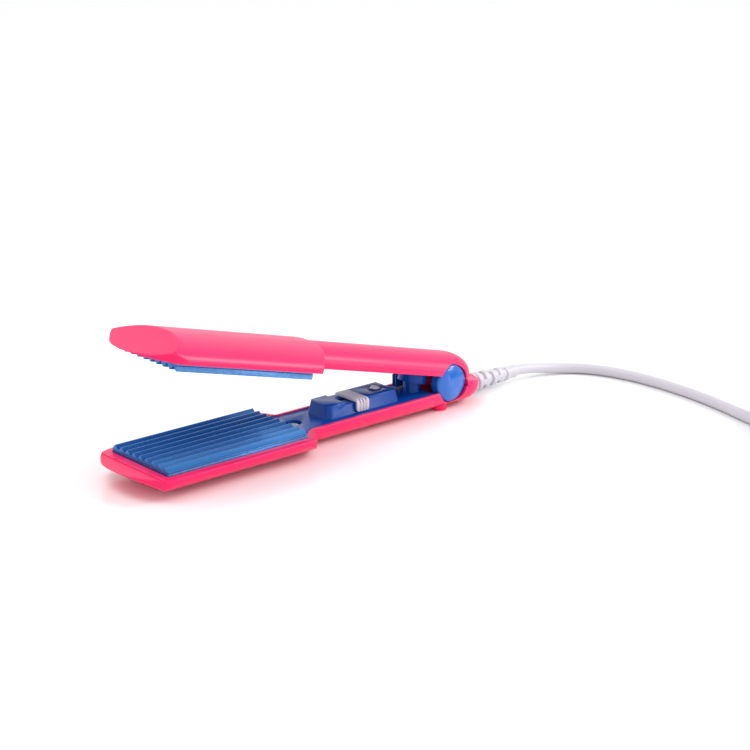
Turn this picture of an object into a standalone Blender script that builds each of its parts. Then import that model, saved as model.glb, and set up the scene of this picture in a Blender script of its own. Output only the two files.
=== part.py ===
"""Hair crimper: two sprung arms with ridged heating plates, a slide switch, and a mains cord with its plug.

Metres, +Z up. The lower arm lies on the floor plane z = 0 along X, its tip towards -X and the hinge and
cord towards +X. Each arm is modelled closed, in arm coordinates: x from the hinge axis, z from the parting
plane between the two arms. Two empties on the hinge axis place the arms, the upper one turned open.
"""

import math

import bmesh
import bpy
from mathutils import Euler, Matrix, Vector

MM = 0.001
GAP = 0.3 * MM

# Placing
HINGE_X = 80.75 * MM
HINGE_Z = 13.6 * MM
OPEN_ANGLE = math.radians(14.7)

# Arms, in arm coordinates
RIM = 3.1 * MM
HEAD_HALF = 25.8 * MM
HEAD_DEPTH = 10.62 * MM
HEAD_FLAT = 0.12 * MM
HEAD_POWER = 1.2
HANDLE_HALF = 14.0 * MM
HANDLE_DEPTH = 10.1 * MM
BAND = 1.7 * MM
WALL = 1.7 * MM
TIP_APEX = -186.0 * MM
TIP_CORNER = Vector((-175.0, 25.0)) * MM
HEAD_END = -84.0 * MM
HEAD_END_CORNER = -94.2 * MM
NECK_START = -100.0 * MM
FACET_AT = -172.0 * MM
FACET_DEPTH = 7.8 * MM
FACET_SLOPE = 0.52
CUTOUT_R = 9.3 * MM
LOWER_REAR = (10.5 * MM, 12.8 * MM)
UPPER_REAR = (3.5 * MM, 12.5 * MM)
FOOT_X = -3.0 * MM
FOOT_Y = 7.0 * MM
FOOT_R = 3.6 * MM

# Plates
PLATE_TIP = -172.3 * MM
PLATE_END = -95.8 * MM
PITCH = 4.7 * MM
RIDGES = 9
RIDGE_PEAK = 0.7 * MM
RIDGE_VALLEY = -1.2 * MM
RIDGE_FLAT = 0.5 * MM
PLATE_WEB = 2.2 * MM
PLATE_SKIRT = 4.2 * MM
PLATE_SKIRT_WALL = 1.7 * MM
PLATE_HALF = PITCH * RIDGES / 2

# Switch
HOUSING_FRONT = -73.5 * MM
HOUSING_REAR = -30.2 * MM
HOUSING_HALF = 8.3 * MM
HOUSING_TOP = 2.8 * MM
HOUSING_TOP_HALF = 7.3 * MM
KNOB_X = -53.1 * MM
KNOB_LENGTH = 7.4 * MM
KNOB_TRAVEL = 5.2 * MM
KNOB_TOP = 3.1 * MM
LAMP_X = -38.0 * MM
KNOB_NEAR = -9.7 * MM
KNOB_FAR = 6.4 * MM
KNOB_WALL = 1.2 * MM

# Inner covers and cord clamp
SCREW_X = -86.8 * MM
COVER_HALF = 12.0 * MM
COVER_END = -10.0 * MM
CLAMP_X = 10.2 * MM
CLAMP_SCREW_Y = 7.6 * MM

# Hinge, spring and cord
PIN_R = 1.45 * MM
CAP_R = 9.0 * MM
CAP_IN = 7.95 * MM
SPRING_X = -14.5 * MM
CORD_R = 2.6 * MM
CORD_Z = -7.9 * MM
RELIEF_END = 54.6 * MM
COIL_CENTRE = Vector((205.0, -145.0)) * MM
COIL_MEAN_R = 28.5 * MM
COIL_SIDE = 15.6 * MM


def clear_scene():
    """Empties the scene."""
    for obj in list(bpy.data.objects):
        bpy.data.objects.remove(obj, do_unlink=True)


def make_material(name, colour, roughness, metallic=0.0):
    """A plain material of one colour."""
    material = bpy.data.materials.new(name)
    material.use_nodes = True
    shader = material.node_tree.nodes["Principled BSDF"]
    shader.inputs["Base Color"].default_value = (*colour, 1.0)
    shader.inputs["Roughness"].default_value = roughness
    shader.inputs["Metallic"].default_value = metallic
    return material


def add_object(name, bm, material, parent=None):
    """Turns bm into a closed, outward-facing object, smooth except at its sharp edges."""
    bmesh.ops.recalc_face_normals(bm, faces=bm.faces)
    mesh = bpy.data.meshes.new(name)
    bm.to_mesh(mesh)
    bm.free()
    mesh.shade_smooth()
    mesh.set_sharp_from_angle(angle=math.radians(35))
    obj = bpy.data.objects.new(name, mesh)
    bpy.context.scene.collection.objects.link(obj)
    if material:
        mesh.materials.append(material)
    obj.parent = parent
    return obj


def add_cutter(name, bm, parent=None):
    """Turns bm into a body that only serves another body's Boolean."""
    obj = add_object(name, bm, None, parent)
    obj.hide_render = True
    obj.display_type = "WIRE"
    return obj


def combine(target, other, operation):
    """Adds a Boolean of target and other."""
    modifier = target.modifiers.new(other.name, "BOOLEAN")
    modifier.operation = operation
    modifier.object = other


def cut(target, bm, name):
    """Takes bm away from target."""
    combine(target, add_cutter(name, bm, target.parent), "DIFFERENCE")


def join(target, bm, name):
    """Joins bm on to target."""
    combine(target, add_cutter(name, bm, target.parent), "UNION")


def settle_modifiers():
    """Makes every Boolean's result the object's own mesh, then removes the cutters."""
    bpy.context.view_layer.update()
    graph = bpy.context.evaluated_depsgraph_get()
    shaped = [obj for obj in bpy.data.objects if obj.modifiers]
    meshes = [bpy.data.meshes.new_from_object(obj.evaluated_get(graph)) for obj in shaped]
    for obj, mesh in zip(shaped, meshes):
        obj.modifiers.clear()
        obj.data = mesh
    for obj in [obj for obj in bpy.data.objects if obj.display_type == "WIRE"]:
        bpy.data.objects.remove(obj, do_unlink=True)


def loft(rings):
    """A closed body through rings of equally many points, capped at both ends."""
    bm = bmesh.new()
    made = [[bm.verts.new(point) for point in ring] for ring in rings]
    count = len(made[0])
    for first, second in zip(made, made[1:]):
        for i in range(count):
            j = (i + 1) % count
            bm.faces.new((first[i], first[j], second[j], second[i]))
    bm.faces.new(made[0])
    bm.faces.new(reversed(made[-1]))
    return bm


def prism_z(outline, low, high):
    """An (x, y) outline, extruded along Z."""
    return loft([[(x, y, z) for x, y in outline] for z in (low, high)])


def prism_x(outline, start, end):
    """A (y, z) outline, extruded along X."""
    return loft([[(x, y, z) for y, z in outline] for x in (start, end)])


def prism_y(outline, start, end):
    """An (x, z) outline, extruded along Y."""
    return loft([[(x, y, z) for x, z in outline] for y in (start, end)])


def box(x, y, z):
    """A box between two limits on each axis."""
    return prism_z([(x[0], y[0]), (x[1], y[0]), (x[1], y[1]), (x[0], y[1])], *z)


def rod(radius, start, end, segments=24):
    """A round bar between two points."""
    start, end = Vector(start), Vector(end)
    bm = bmesh.new()
    bmesh.ops.create_cone(bm, cap_ends=True, segments=segments, radius1=radius, radius2=radius,
                          depth=(end - start).length)
    turn = (end - start).to_track_quat("Z", "Y").to_matrix().to_4x4()
    bmesh.ops.transform(bm, matrix=Matrix.Translation((start + end) / 2) @ turn, verts=bm.verts)
    return bm


def turned(profile, matrix, segments=32):
    """A body of revolution of (radius, height) points about local Z, placed by matrix."""
    bm = bmesh.new()
    rings = []
    for radius, height in profile:
        if radius == 0:
            rings.append([bm.verts.new((0, 0, height))])
            continue
        angles = [2 * math.pi * i / segments for i in range(segments)]
        rings.append([bm.verts.new((radius * math.cos(a), radius * math.sin(a), height)) for a in angles])
    for first, second in zip(rings, rings[1:]):
        for i in range(segments):
            j = (i + 1) % segments
            if len(first) == 1:
                bm.faces.new((first[0], second[i], second[j]))
            elif len(second) == 1:
                bm.faces.new((first[i], first[j], second[0]))
            else:
                bm.faces.new((first[i], first[j], second[j], second[i]))
    for ring in (rings[0], rings[-1]):
        if len(ring) > 1:
            bm.faces.new(ring)
    bmesh.ops.transform(bm, matrix=matrix, verts=bm.verts)
    return bm


def mirror_arm(pivot):
    """Turns the pieces under pivot, modelled in the lower arm's sense, into their mirror image in z."""
    flip = Matrix.Diagonal((1, 1, -1, 1))
    for obj in pivot.children:
        obj.data.transform(flip)
        if obj.type == "MESH":
            obj.data.flip_normals()


# --- casings ---------------------------------------------------------------------------------------------

def arm_section(half, depth, band, flat=0.0, steps=20, power=1.0):
    """(y, z) of a rounded trough below the rim: a low upright band, then an arch, leaner as power rises."""
    points = [(-half, -RIM)]
    for i in range(steps + 1):
        angle = math.pi * i / steps
        drop = min(band + (depth - band) * max(0.0, math.sin(angle)) ** power, depth - flat)
        points.append((-half * math.cos(angle), -RIM - drop))
    points.append((half, -RIM))
    return points


def arc_through(corner_x, corner_y, apex_x, steps):
    """Plan arc from (corner_x, -corner_y) over (apex_x, 0) to (corner_x, corner_y)."""
    rise = abs(apex_x - corner_x)
    radius = (rise**2 + corner_y**2) / (2 * rise)
    direction = 1 if apex_x > corner_x else -1
    centre = apex_x - direction * radius
    most = math.asin(corner_y / radius)
    angles = [most * (2 * i / steps - 1) for i in range(steps + 1)]
    return [(centre + direction * radius * math.cos(a), radius * math.sin(a)) for a in angles]


def head_outline(inset=0.0):
    """Plan outline of the head: curved tip, straight sides, bulging hinge end."""
    tip = arc_through(TIP_CORNER.x + inset * 0.6, TIP_CORNER.y - inset, TIP_APEX + inset, 16)
    end = arc_through(HEAD_END_CORNER - inset * 0.6, HEAD_HALF - inset, HEAD_END - inset, 12)
    shoulder = TIP_CORNER.x + 3 * MM
    return [*tip, (shoulder, HEAD_HALF - inset), *reversed(end), (shoulder, inset - HEAD_HALF)]


def facet_cutter():
    """A wedge that cuts the oblique oval facet off the tip's outer side."""
    low_x, high_x = TIP_APEX - 10 * MM, FACET_AT + 20 * MM
    low = -RIM - FACET_DEPTH - FACET_SLOPE * (low_x - FACET_AT)
    high = -RIM - FACET_DEPTH - FACET_SLOPE * (high_x - FACET_AT)
    outline = [(low_x, low), (high_x, high), (high_x, -40 * MM), (low_x, -40 * MM)]
    return prism_y(outline, -40 * MM, 40 * MM)


def handle_rings(half, depth, band, start, round_from, round_length, steps=8):
    """Trough sections of the handle, closing to a full rounded rear end."""
    rings = []
    places = [(start, 1.0)] + [
        (round_from + round_length * math.sin(math.radians(86) * i / steps),
         math.cos(math.radians(86) * i / steps) ** 0.8)
        for i in range(steps + 1)
    ]
    for x, size in places:
        section = arm_section(half * size, depth * size**0.75, band * size, steps=14)
        rings.append([(x, y, z) for y, z in section])
    return rings


def make_casing(name, rear_from, rear_length, parent, material):
    """One arm's shell, its rounded rear end starting at rear_from."""
    section = arm_section(HEAD_HALF, HEAD_DEPTH, BAND, HEAD_FLAT, power=HEAD_POWER)
    head = prism_x(section, TIP_APEX - 4 * MM, HEAD_END + 4 * MM)
    shell = add_object(name, head, material, parent)
    outline = prism_z(head_outline(), -30 * MM, 5 * MM)
    combine(shell, add_cutter(f"{name}_outline", outline, parent), "INTERSECT")
    cut(shell, facet_cutter(), f"{name}_facet")
    handle = loft(handle_rings(HANDLE_HALF, HANDLE_DEPTH, BAND, NECK_START, rear_from, rear_length))
    join(shell, handle, f"{name}_handle")
    if name.startswith("lower"):
        for sign, label in ((-1, "near"), (1, "far")):
            foot = rod(FOOT_R, (FOOT_X, sign * FOOT_Y, -HINGE_Z), (FOOT_X, sign * FOOT_Y, -9.9 * MM), 32)
            join(shell, foot, f"{name}_{label}_foot")

    head_inner = arm_section(HEAD_HALF - WALL, HEAD_DEPTH - WALL, BAND + 0.2 * MM, steps=14)
    base = -RIM - BAND - 0.2 * MM
    left, *arch, right = head_inner
    hollow = [(left[0], left[1] - 1.8 * MM), *arch, (right[0], right[1] - 1.8 * MM)]
    rings = []
    for x, share in ((-170.8 * MM, 0.58), (-161 * MM, 1.0), (-99 * MM, 1.0)):
        rings.append([(x, y, base + (z - base) * share if z < base else z) for y, z in hollow])
    cut(shell, loft(rings), f"{name}_head_hollow")
    hollow_rear = handle_rings(HANDLE_HALF - WALL, HANDLE_DEPTH - WALL, BAND, NECK_START - 3 * MM,
                               rear_from - 3 * MM, rear_length - 1.5 * MM)
    raised = []
    for ring in hollow_rear:
        raised.append([(x, y, z + 0.5 * MM if z > -RIM - 0.1 * MM else z) for x, y, z in ring])
    cut(shell, loft(raised), f"{name}_handle_hollow")
    half, flare = PLATE_HALF + GAP, 19.5 * MM
    mouth = [(PLATE_TIP - GAP, -half), (PLATE_END + GAP, -half), (PLATE_END + GAP, -flare),
             (-90 * MM, -14.6 * MM), (-86 * MM, -12.4 * MM), (-80 * MM, -12.3 * MM)]
    mouth += [(x, -y) for x, y in reversed(mouth)]
    cut(shell, prism_z(mouth, -6 * MM, 0), f"{name}_mouth")
    dish_at, dish_depth, dish_slope = -176.8 * MM, 0.35 * MM, 0.1
    dish = arc_through(dish_at, 23.4 * MM, TIP_APEX + 1.3 * MM, 16)
    floor = [(x, y, -RIM - dish_depth + dish_slope * (x - dish_at)) for x, y in dish]
    cut(shell, loft([[(x, y, 0) for x, y in dish], floor]), f"{name}_tip_dish")
    for sign, label in ((-1, "near"), (1, "far")):
        round_cut = rod(CUTOUT_R, (0, sign * 7.75 * MM, 0), (0, sign * 17 * MM, 0), 48)
        cut(shell, round_cut, f"{name}_{label}_cutout")
    return shell


def half_round(radius):
    """Points of the upper half circle, from +X to -X."""
    return [(radius * math.cos(math.pi * i / 12), radius * math.sin(math.pi * i / 12)) for i in range(13)]


def add_screw_post(shell):
    """Adds the bored post that the inner cover is screwed to."""
    post = rod(3.4 * MM, (SCREW_X, 0, -12.2 * MM), (SCREW_X, 0, -7.4 * MM))
    join(shell, post, f"{shell.name}_screw_post")
    pilot = rod(1.6 * MM, (SCREW_X, 0, -11.4 * MM), (SCREW_X, 0, -7 * MM), 16)
    cut(shell, pilot, f"{shell.name}_screw_pilot")


def finish_lower_casing(shell):
    """Adds the hinge ears, the opening stop on the rear lobe, the cord's way out and its clamp's posts."""
    for sign, label in ((-1, "near"), (1, "far")):
        y = sorted((sign * 5.6 * MM, sign * 7.5 * MM))
        outline = [(-4.6 * MM, -11 * MM), (4.6 * MM, -11 * MM)]
        outline += half_round(4.6 * MM)
        join(shell, prism_y(outline, *y), f"ear_{label}")
    cut(shell, rod(PIN_R + 0.35 * MM, (0, -9 * MM, 0), (0, 9 * MM, 0)), "ear_bore")
    slope = math.tan(OPEN_ANGLE)
    stop_rings = []
    for x in (9.5, 11.5, 13.5, 16, 18.5, 20.5, 22):
        share = math.sqrt(1 - max(0, (x * MM - LOWER_REAR[0]) / LOWER_REAR[1]) ** 2) ** 0.8
        half = (HANDLE_HALF - 0.1 * MM) * share
        top = 2.55 * MM - x * MM * slope
        low, edge, inner = -4 * MM, top - 0.8 * MM, half - 1 * MM
        ring = [(-half, low), (half, low), (half, edge), (inner, top), (-inner, top), (-half, edge)]
        stop_rings.append([(x * MM, y, z) for y, z in ring])
    join(shell, loft(stop_rings), "opening_stop")
    cut(shell, rod(3.5 * MM, (10 * MM, 0, CORD_Z), (40 * MM, 0, CORD_Z)), "cord_way")
    for sign, label in ((-1, "left"), (1, "right")):
        y = sign * CLAMP_SCREW_Y
        post = rod(2.0 * MM, (CLAMP_X, y, -10.4 * MM), (CLAMP_X, y, -7.2 * MM), 16)
        join(shell, post, f"clamp_post_{label}")
        pilot = rod(1.15 * MM, (CLAMP_X, y, -9.8 * MM), (CLAMP_X, y, -7 * MM), 12)
        cut(shell, pilot, f"clamp_pilot_{label}")


def finish_upper_casing(shell):
    """Adds the knuckle that turns on the pin between the lower ears."""
    outline = [(-4.4 * MM, -11.6 * MM), (4.4 * MM, -11.6 * MM)]
    outline += half_round(4.4 * MM)
    join(shell, prism_y(outline, -5.2 * MM, 5.2 * MM), "knuckle")
    cut(shell, rod(PIN_R + 0.35 * MM, (0, -9 * MM, 0), (0, 9 * MM, 0)), "knuckle_bore")


# --- plates and heaters ----------------------------------------------------------------------------------

def plate_profile(first_is_peak):
    """(y, z) of a ridged extrusion with a web and two skirts. The two plates' ridges interlock."""
    points = []
    for i in range(2 * RIDGES + 1):
        y = -PLATE_HALF + i * PITCH / 2
        z = RIDGE_PEAK if (i % 2 == 0) == first_is_peak else RIDGE_VALLEY
        for shift in (-RIDGE_FLAT / 2, RIDGE_FLAT / 2):
            if abs(y + shift) <= PLATE_HALF:
                points.append((y + shift, z))
            else:
                points.append((y, z))
    points = list(dict.fromkeys(points))
    web, skirt = RIDGE_VALLEY - PLATE_WEB, RIDGE_VALLEY - PLATE_SKIRT
    inner = PLATE_HALF - PLATE_SKIRT_WALL
    return [*points, (PLATE_HALF, skirt), (inner, skirt), (inner, web), (-inner, web), (-inner, skirt),
            (-PLATE_HALF, skirt)]


def make_heating(prefix, first_is_peak, parent, materials):
    """One arm's ridged plate, with its carrier, its heater and the clip that presses the heater on."""
    plate = prism_x(plate_profile(first_is_peak), PLATE_TIP, PLATE_END)
    add_object(f"{prefix}_plate", plate, materials["plate"], parent)
    half, inner = 20.8 * MM, 19.4 * MM
    top, floor, bottom = -5.75 * MM, -6.95 * MM, -7.8 * MM
    tray = [(-half, top), (-half, bottom), (half, bottom), (half, top), (inner, top), (inner, floor),
            (-inner, floor), (-inner, top)]
    carrier = prism_x(tray, -163.5 * MM, -101 * MM)
    add_object(f"{prefix}_plate_carrier", carrier, materials["carrier"], parent)
    heater = box((-160 * MM, -107 * MM), (-9 * MM, 9 * MM), (-5.7 * MM, -3.7 * MM))
    add_object(f"{prefix}_heater", heater, materials["film"], parent)
    thick = 0.35 * MM
    low = [(-162, -6.63), (-154, -6.63), (-148, -6.4), (-120, -6.4), (-114, -6.63), (-104, -6.63)]
    strip = [(x * MM, z * MM) for x, z in low] + [(x * MM, z * MM + thick) for x, z in reversed(low)]
    clip = prism_y(strip, -6 * MM, 6 * MM)
    add_object(f"{prefix}_heater_clip", clip, materials["steel"], parent)


# --- covers, switch and small pieces ---------------------------------------------------------------------

def cover_outline(half, end):
    """Plan outline of an inner cover: wide at the plate, then narrow along the handle."""
    outline = [(PLATE_END + 2 * GAP, -19.1 * MM), (-90.2 * MM, -14.2 * MM), (-86.1 * MM, -half), (end, -half)]
    return outline + [(x, -y) for x, y in reversed(outline)]


def housing_ring(half, front, rear, z, chamfer):
    """One level of the switch housing, with its front corners cut off."""
    return [(front, chamfer - half, z), (front + chamfer, -half, z), (rear, -half, z), (rear, half, z),
            (front + chamfer, half, z), (front, half - chamfer, z)]


def screw_recess(cover):
    """A round recess with a floor, through which the cover screw passes."""
    x = SCREW_X
    join(cover, rod(4.8 * MM, (x, 0, -7.0 * MM), (x, 0, -4.0 * MM)), f"{cover.name}_recess")
    cut(cover, rod(3.7 * MM, (x, 0, -6.2 * MM), (x, 0, 0)), f"{cover.name}_recess_bore")
    cut(cover, rod(1.6 * MM, (x, 0, -8 * MM), (x, 0, -5 * MM), 16), f"{cover.name}_screw_bore")


def make_lower_cover(parent, material):
    """The deck inside the lower handle, with the switch housing, the spring cup and the screw's recess."""
    top, bottom = -3.4 * MM, -4.8 * MM
    deck = prism_z(cover_outline(COVER_HALF, COVER_END), bottom, top)
    cover = add_object("lower_inner_cover", deck, material, parent)
    wall = 1.3 * MM
    half, front, rear = HOUSING_HALF, HOUSING_FRONT, HOUSING_REAR
    top_half, top_front, top_rear = HOUSING_TOP_HALF, front + 1.2 * MM, rear - 0.9 * MM
    rings = [housing_ring(half, front, rear, bottom + 0.2 * MM, 2.2 * MM),
             housing_ring(half, front, rear, top, 2.2 * MM),
             housing_ring(top_half, top_front, top_rear, HOUSING_TOP, 2.0 * MM)]
    join(cover, loft(rings), "switch_housing")
    rings = [housing_ring(half - wall, front + wall, rear - wall, -8 * MM, 1.8 * MM),
             housing_ring(half - wall, front + wall, rear - wall, top, 1.8 * MM),
             housing_ring(top_half - wall, top_front + 1.4 * MM, top_rear - 1.4 * MM, 0.2 * MM, 1.6 * MM)]
    cut(cover, loft(rings), "housing_hollow")
    recess_front = KNOB_X - KNOB_LENGTH / 2 - KNOB_TRAVEL - GAP
    recess_rear = KNOB_X + KNOB_LENGTH / 2 + GAP
    cut(cover, box((recess_front, recess_rear), (-12 * MM, 12 * MM), (1.6 * MM, 6 * MM)), "knob_recess")
    slot = 1.6 * MM
    stem_slot = box((KNOB_X - KNOB_TRAVEL - slot, KNOB_X + slot), (-slot, slot), (-1 * MM, 6 * MM))
    cut(cover, stem_slot, "stem_slot")
    cut(cover, rod(2.75 * MM, (LAMP_X, 0, -1 * MM), (LAMP_X, 0, 6 * MM)), "lamp_hole")
    screw_recess(cover)
    join(cover, rod(4.2 * MM, (SPRING_X, 0, -4.6 * MM), (SPRING_X, 0, 2.3 * MM)), "spring_cup")
    cut(cover, rod(3.2 * MM, (SPRING_X, 0, -3.3 * MM), (SPRING_X, 0, 5 * MM)), "spring_bore")
    return cover


def make_upper_cover(parent, material):
    """The mirror of the lower cover, with a pan over the switch and a collar round the spring cup."""
    top, bottom = -3.4 * MM, -4.8 * MM
    flat = prism_z(cover_outline(COVER_HALF, COVER_END), bottom, top)
    cover = add_object("upper_inner_cover", flat, material, parent)
    pan = box((-78.5 * MM, -24.5 * MM), (-11.3 * MM, 11.3 * MM), (-7.0 * MM, -4.0 * MM))
    join(cover, pan, "switch_pan")
    pocket = box((-77.2 * MM, -25.8 * MM), (-10.2 * MM, 10.2 * MM), (-5.8 * MM, 0))
    cut(cover, pocket, "switch_pocket")
    screw_recess(cover)
    join(cover, rod(6.9 * MM, (SPRING_X, 0, -5.2 * MM), (SPRING_X, 0, 2.5 * MM), 32), "spring_collar")
    cut(cover, rod(5.7 * MM, (SPRING_X, 0, -4.2 * MM), (SPRING_X, 0, 4 * MM), 32), "collar_bore")
    return cover


def make_screw(name, head_r, head, shank_r, length, place, material, parent):
    """A pan-head screw that points down its own -Z, with a cross recess."""
    profile = [(0, -length), (shank_r * 0.5, -length), (shank_r, 0.6 * MM - length), (shank_r, 0),
               (head_r, 0), (head_r, head * 0.6), (head_r * 0.8, head), (0, head)]
    screw = add_object(name, turned(profile, Matrix.Translation(place), 20), material, parent)
    width, reach = head_r * 0.24, head_r * 0.62
    for label, (dx, dy) in (("slot_a", (reach, width / 2)), ("slot_b", (width / 2, reach))):
        x, y, z = place
        slot = box((x - dx, x + dx), (y - dy, y + dy), (z + head * 0.45, z + head + 1 * MM))
        cut(screw, slot, f"{name}_{label}")
    return screw


def make_switch(parent, slider, materials):
    """The knob on its slider, the switch that it moves, the board below, the lamp and its lens."""
    board = box((-72 * MM, -24 * MM), (-7 * MM, 7 * MM), (-8.6 * MM, -7.4 * MM))
    add_object("control_board", board, materials["board"], parent)
    body = add_object("switch_body", box((-63 * MM, -46 * MM), (-4 * MM, 4 * MM), (-7.1 * MM, -1.6 * MM)),
                      materials["dark"], parent)
    cut(body, box((-60.6 * MM, -50.6 * MM), (-2 * MM, 2 * MM), (-4.4 * MM, 0)), "switch_body_slot")
    bar = box((-KNOB_LENGTH / 2, KNOB_LENGTH / 2), (KNOB_NEAR, KNOB_FAR), (-2.8 * MM, KNOB_TOP))
    knob = add_object("switch_knob", bar, materials["knob"], slider)
    saddle = box((-6 * MM, 6 * MM), (KNOB_NEAR + KNOB_WALL, 12 * MM), (-5 * MM, 1.9 * MM))
    cut(knob, saddle, "saddle")
    join(knob, rod(1.2 * MM, (0, 0, -3.8 * MM), (0, 0, 2.5 * MM), 16), "knob_stem")
    groove, spacing = 0.35 * MM, 1.7 * MM
    for i in range(3):
        x = (i - 1) * spacing
        notch = box((x - groove, x + groove), (KNOB_NEAR - 2 * MM, KNOB_NEAR + groove), (-6 * MM, 2.3 * MM))
        cut(knob, notch, f"groove_{i}")
    lamp = Matrix.Translation((LAMP_X, 0, 0))
    lens = [(0, -0.9), (3.0, -0.9), (3.0, -0.2), (2.4, -0.2), (2.4, 2.9), (2.0, 3.4), (1.2, 3.7), (0, 3.8)]
    add_object("indicator_lens", turned(in_mm(lens), lamp, 24), materials["lens"], parent)
    led = [(0, -7.1), (1.6, -7.1), (1.6, -3.5), (1.2, -2.4), (0, -2.0)]
    add_object("indicator_led", turned(in_mm(led), lamp, 16), materials["led"], parent)


def tube_along(points, radius, resolution=2):
    """A POLY curve object's data with round section and filled caps."""
    curve = bpy.data.curves.new("tube", "CURVE")
    curve.dimensions = "3D"
    curve.bevel_depth = radius
    curve.bevel_resolution = resolution
    curve.use_fill_caps = True
    spline = curve.splines.new("POLY")
    spline.points.add(len(points) - 1)
    for point, place in zip(spline.points, points):
        point.co = (*place, 1.0)
    return curve


def smooth_route(points, spacing):
    """Evenly spaced places on a smooth curve through the points."""
    points = [Vector(p) for p in points]
    ends = [2 * points[0] - points[1], *points, 2 * points[-1] - points[-2]]
    fine = []
    for a, b, c, d in zip(ends, ends[1:], ends[2:], ends[3:]):
        for i in range(20):
            t = i / 20
            fine.append(0.5 * (2 * b + (c - a) * t + (2 * a - 5 * b + 4 * c - d) * t**2
                               + (3 * b - a - 3 * c + d) * t**3))
    fine.append(points[-1])
    lengths = [0.0]
    for first, second in zip(fine, fine[1:]):
        lengths.append(lengths[-1] + (second - first).length)
    count = max(2, round(lengths[-1] / spacing))
    placed, k = [], 0
    for i in range(count + 1):
        target = lengths[-1] * i / count
        while k < len(lengths) - 2 and lengths[k + 1] < target:
            k += 1
        share = (target - lengths[k]) / (lengths[k + 1] - lengths[k])
        placed.append(fine[k].lerp(fine[k + 1], share))
    return placed


def add_tube(name, points, radius, material, parent=None, spacing=4 * MM):
    """A round lead or cord along a smooth route."""
    obj = bpy.data.objects.new(name, tube_along(smooth_route(points, spacing), radius))
    bpy.context.scene.collection.objects.link(obj)
    obj.data.materials.append(material)
    obj.parent = parent
    return obj


def in_mm(points):
    """Points given in millimetres."""
    return [tuple(value * MM for value in point) for point in points]


def make_small_parts(lower, upper, materials):
    """The hinge pin and its caps, the wire guide, the fuse, the screws and the cord's clamp."""
    along_y = Matrix.Rotation(-math.pi / 2, 4, "X")
    add_object("hinge_pin", rod(PIN_R, (0, -7.45 * MM, 0), (0, 7.45 * MM, 0)), materials["steel"], lower)
    cap = [(0, 0), (CAP_R - 0.2 * MM, 0), (CAP_R, 0.2 * MM), (CAP_R, 4.3 * MM), (CAP_R - 0.35 * MM, 4.9 * MM),
           (CAP_R - 1.4 * MM, 5.4 * MM), (CAP_R * 0.55, 5.85 * MM), (0, 6.0 * MM)]
    for sign, label in ((-1, "near"), (1, "far")):
        turn = along_y if sign > 0 else Matrix.Rotation(math.pi / 2, 4, "X")
        place = Matrix.Translation((0, sign * CAP_IN, 0)) @ turn
        add_object(f"hinge_cap_{label}", turned(cap, place, 48), materials["cap"], lower)
    guide = [(-18, 7.3), (-9, 7.3), (-9, 10.3), (-18, 10.3), (-18, 9.3), (-10.2, 9.3), (-10.2, 8.3),
             (-18, 8.3)]
    add_object("wire_guide", prism_z(in_mm(guide), -3.1 * MM, 3.0 * MM), materials["cover"], lower)
    fuse = rod(1.5 * MM, (-99 * MM, 5.2 * MM, -8.3 * MM), (-91.5 * MM, 5.2 * MM, -8.3 * MM), 16)
    add_object("thermal_fuse", fuse, materials["fuse"], lower)
    place = Vector((SCREW_X, 0, -5.9 * MM))
    make_screw("lower_cover_screw", 2.9 * MM, 1.7 * MM, 1.25 * MM, 5 * MM, place, materials["screw"], lower)
    make_screw("upper_cover_screw", 2.9 * MM, 1.7 * MM, 1.25 * MM, 5 * MM, place, materials["screw"], upper)
    plate = box((CLAMP_X - 2 * MM, CLAMP_X + 2 * MM), (-9.8 * MM, 9.8 * MM), (-6.9 * MM, -5.5 * MM))
    clamp = add_object("cord_clamp", plate, materials["dark"], lower)
    for sign, label in ((-1, "left"), (1, "right")):
        y = sign * CLAMP_SCREW_Y
        cut(clamp, rod(1.15 * MM, (CLAMP_X, y, -9 * MM), (CLAMP_X, y, -4 * MM), 12), f"clamp_bore_{label}")
        place = Vector((CLAMP_X, y, -5.2 * MM))
        make_screw(f"cord_clamp_screw_{label}", 1.7 * MM, 1.0 * MM, 0.8 * MM, 3.8 * MM, place,
                   materials["screw"], lower)


def make_spring(parent, material):
    """The return spring: a round wire coiled between the cup's floor and the collar's roof at rest."""
    turns, per_turn, radius, wire = 5, 12, 2.4 * MM, 0.35 * MM
    low, high = -2.6 * MM, 6.6 * MM
    points = []
    for i in range(turns * per_turn + 1):
        angle = 2 * math.pi * i / per_turn
        z = low + (high - low) * i / (turns * per_turn)
        points.append((SPRING_X + radius * math.cos(angle), radius * math.sin(angle), z))
    spring = bpy.data.objects.new("return_spring", tube_along(points, wire, 1))
    bpy.context.scene.collection.objects.link(spring)
    spring.data.materials.append(material)
    spring.parent = parent


def make_leads(lower, upper, material):
    """The wires inside the arms."""
    below = [(-99.5, -5, -8.7), (-94, -5, -8.7), (-87, -5.3, -8.8), (-80, -4.6, -9.4), (-72, -3.4, -10),
             (-64, -3, -10)]
    add_tube("lower_heater_lead", in_mm(below), 0.9 * MM, material, lower)
    above = [(-99.5, 5, -8.7), (-92, 5, -8.7), (-87, 5.3, -8.7), (-80, 5, -9), (-60, 5, -9), (-40, 5, -9),
             (-26, 5, -8.6), (-20, 5, -7.6)]
    add_tube("upper_heater_lead", in_mm(above), 0.9 * MM, material, upper)
    mains = [(12.4, 0, -8.3), (6, 0, -9.0), (-2, 0, -9.2), (-14, 0, -9.0), (-21, 0, -8.9), (-23.4, 0, -8.8)]
    add_tube("mains_lead", in_mm(mains), 1.2 * MM, material, lower)


# --- strain relief, cord and plug ------------------------------------------------------------------------

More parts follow.
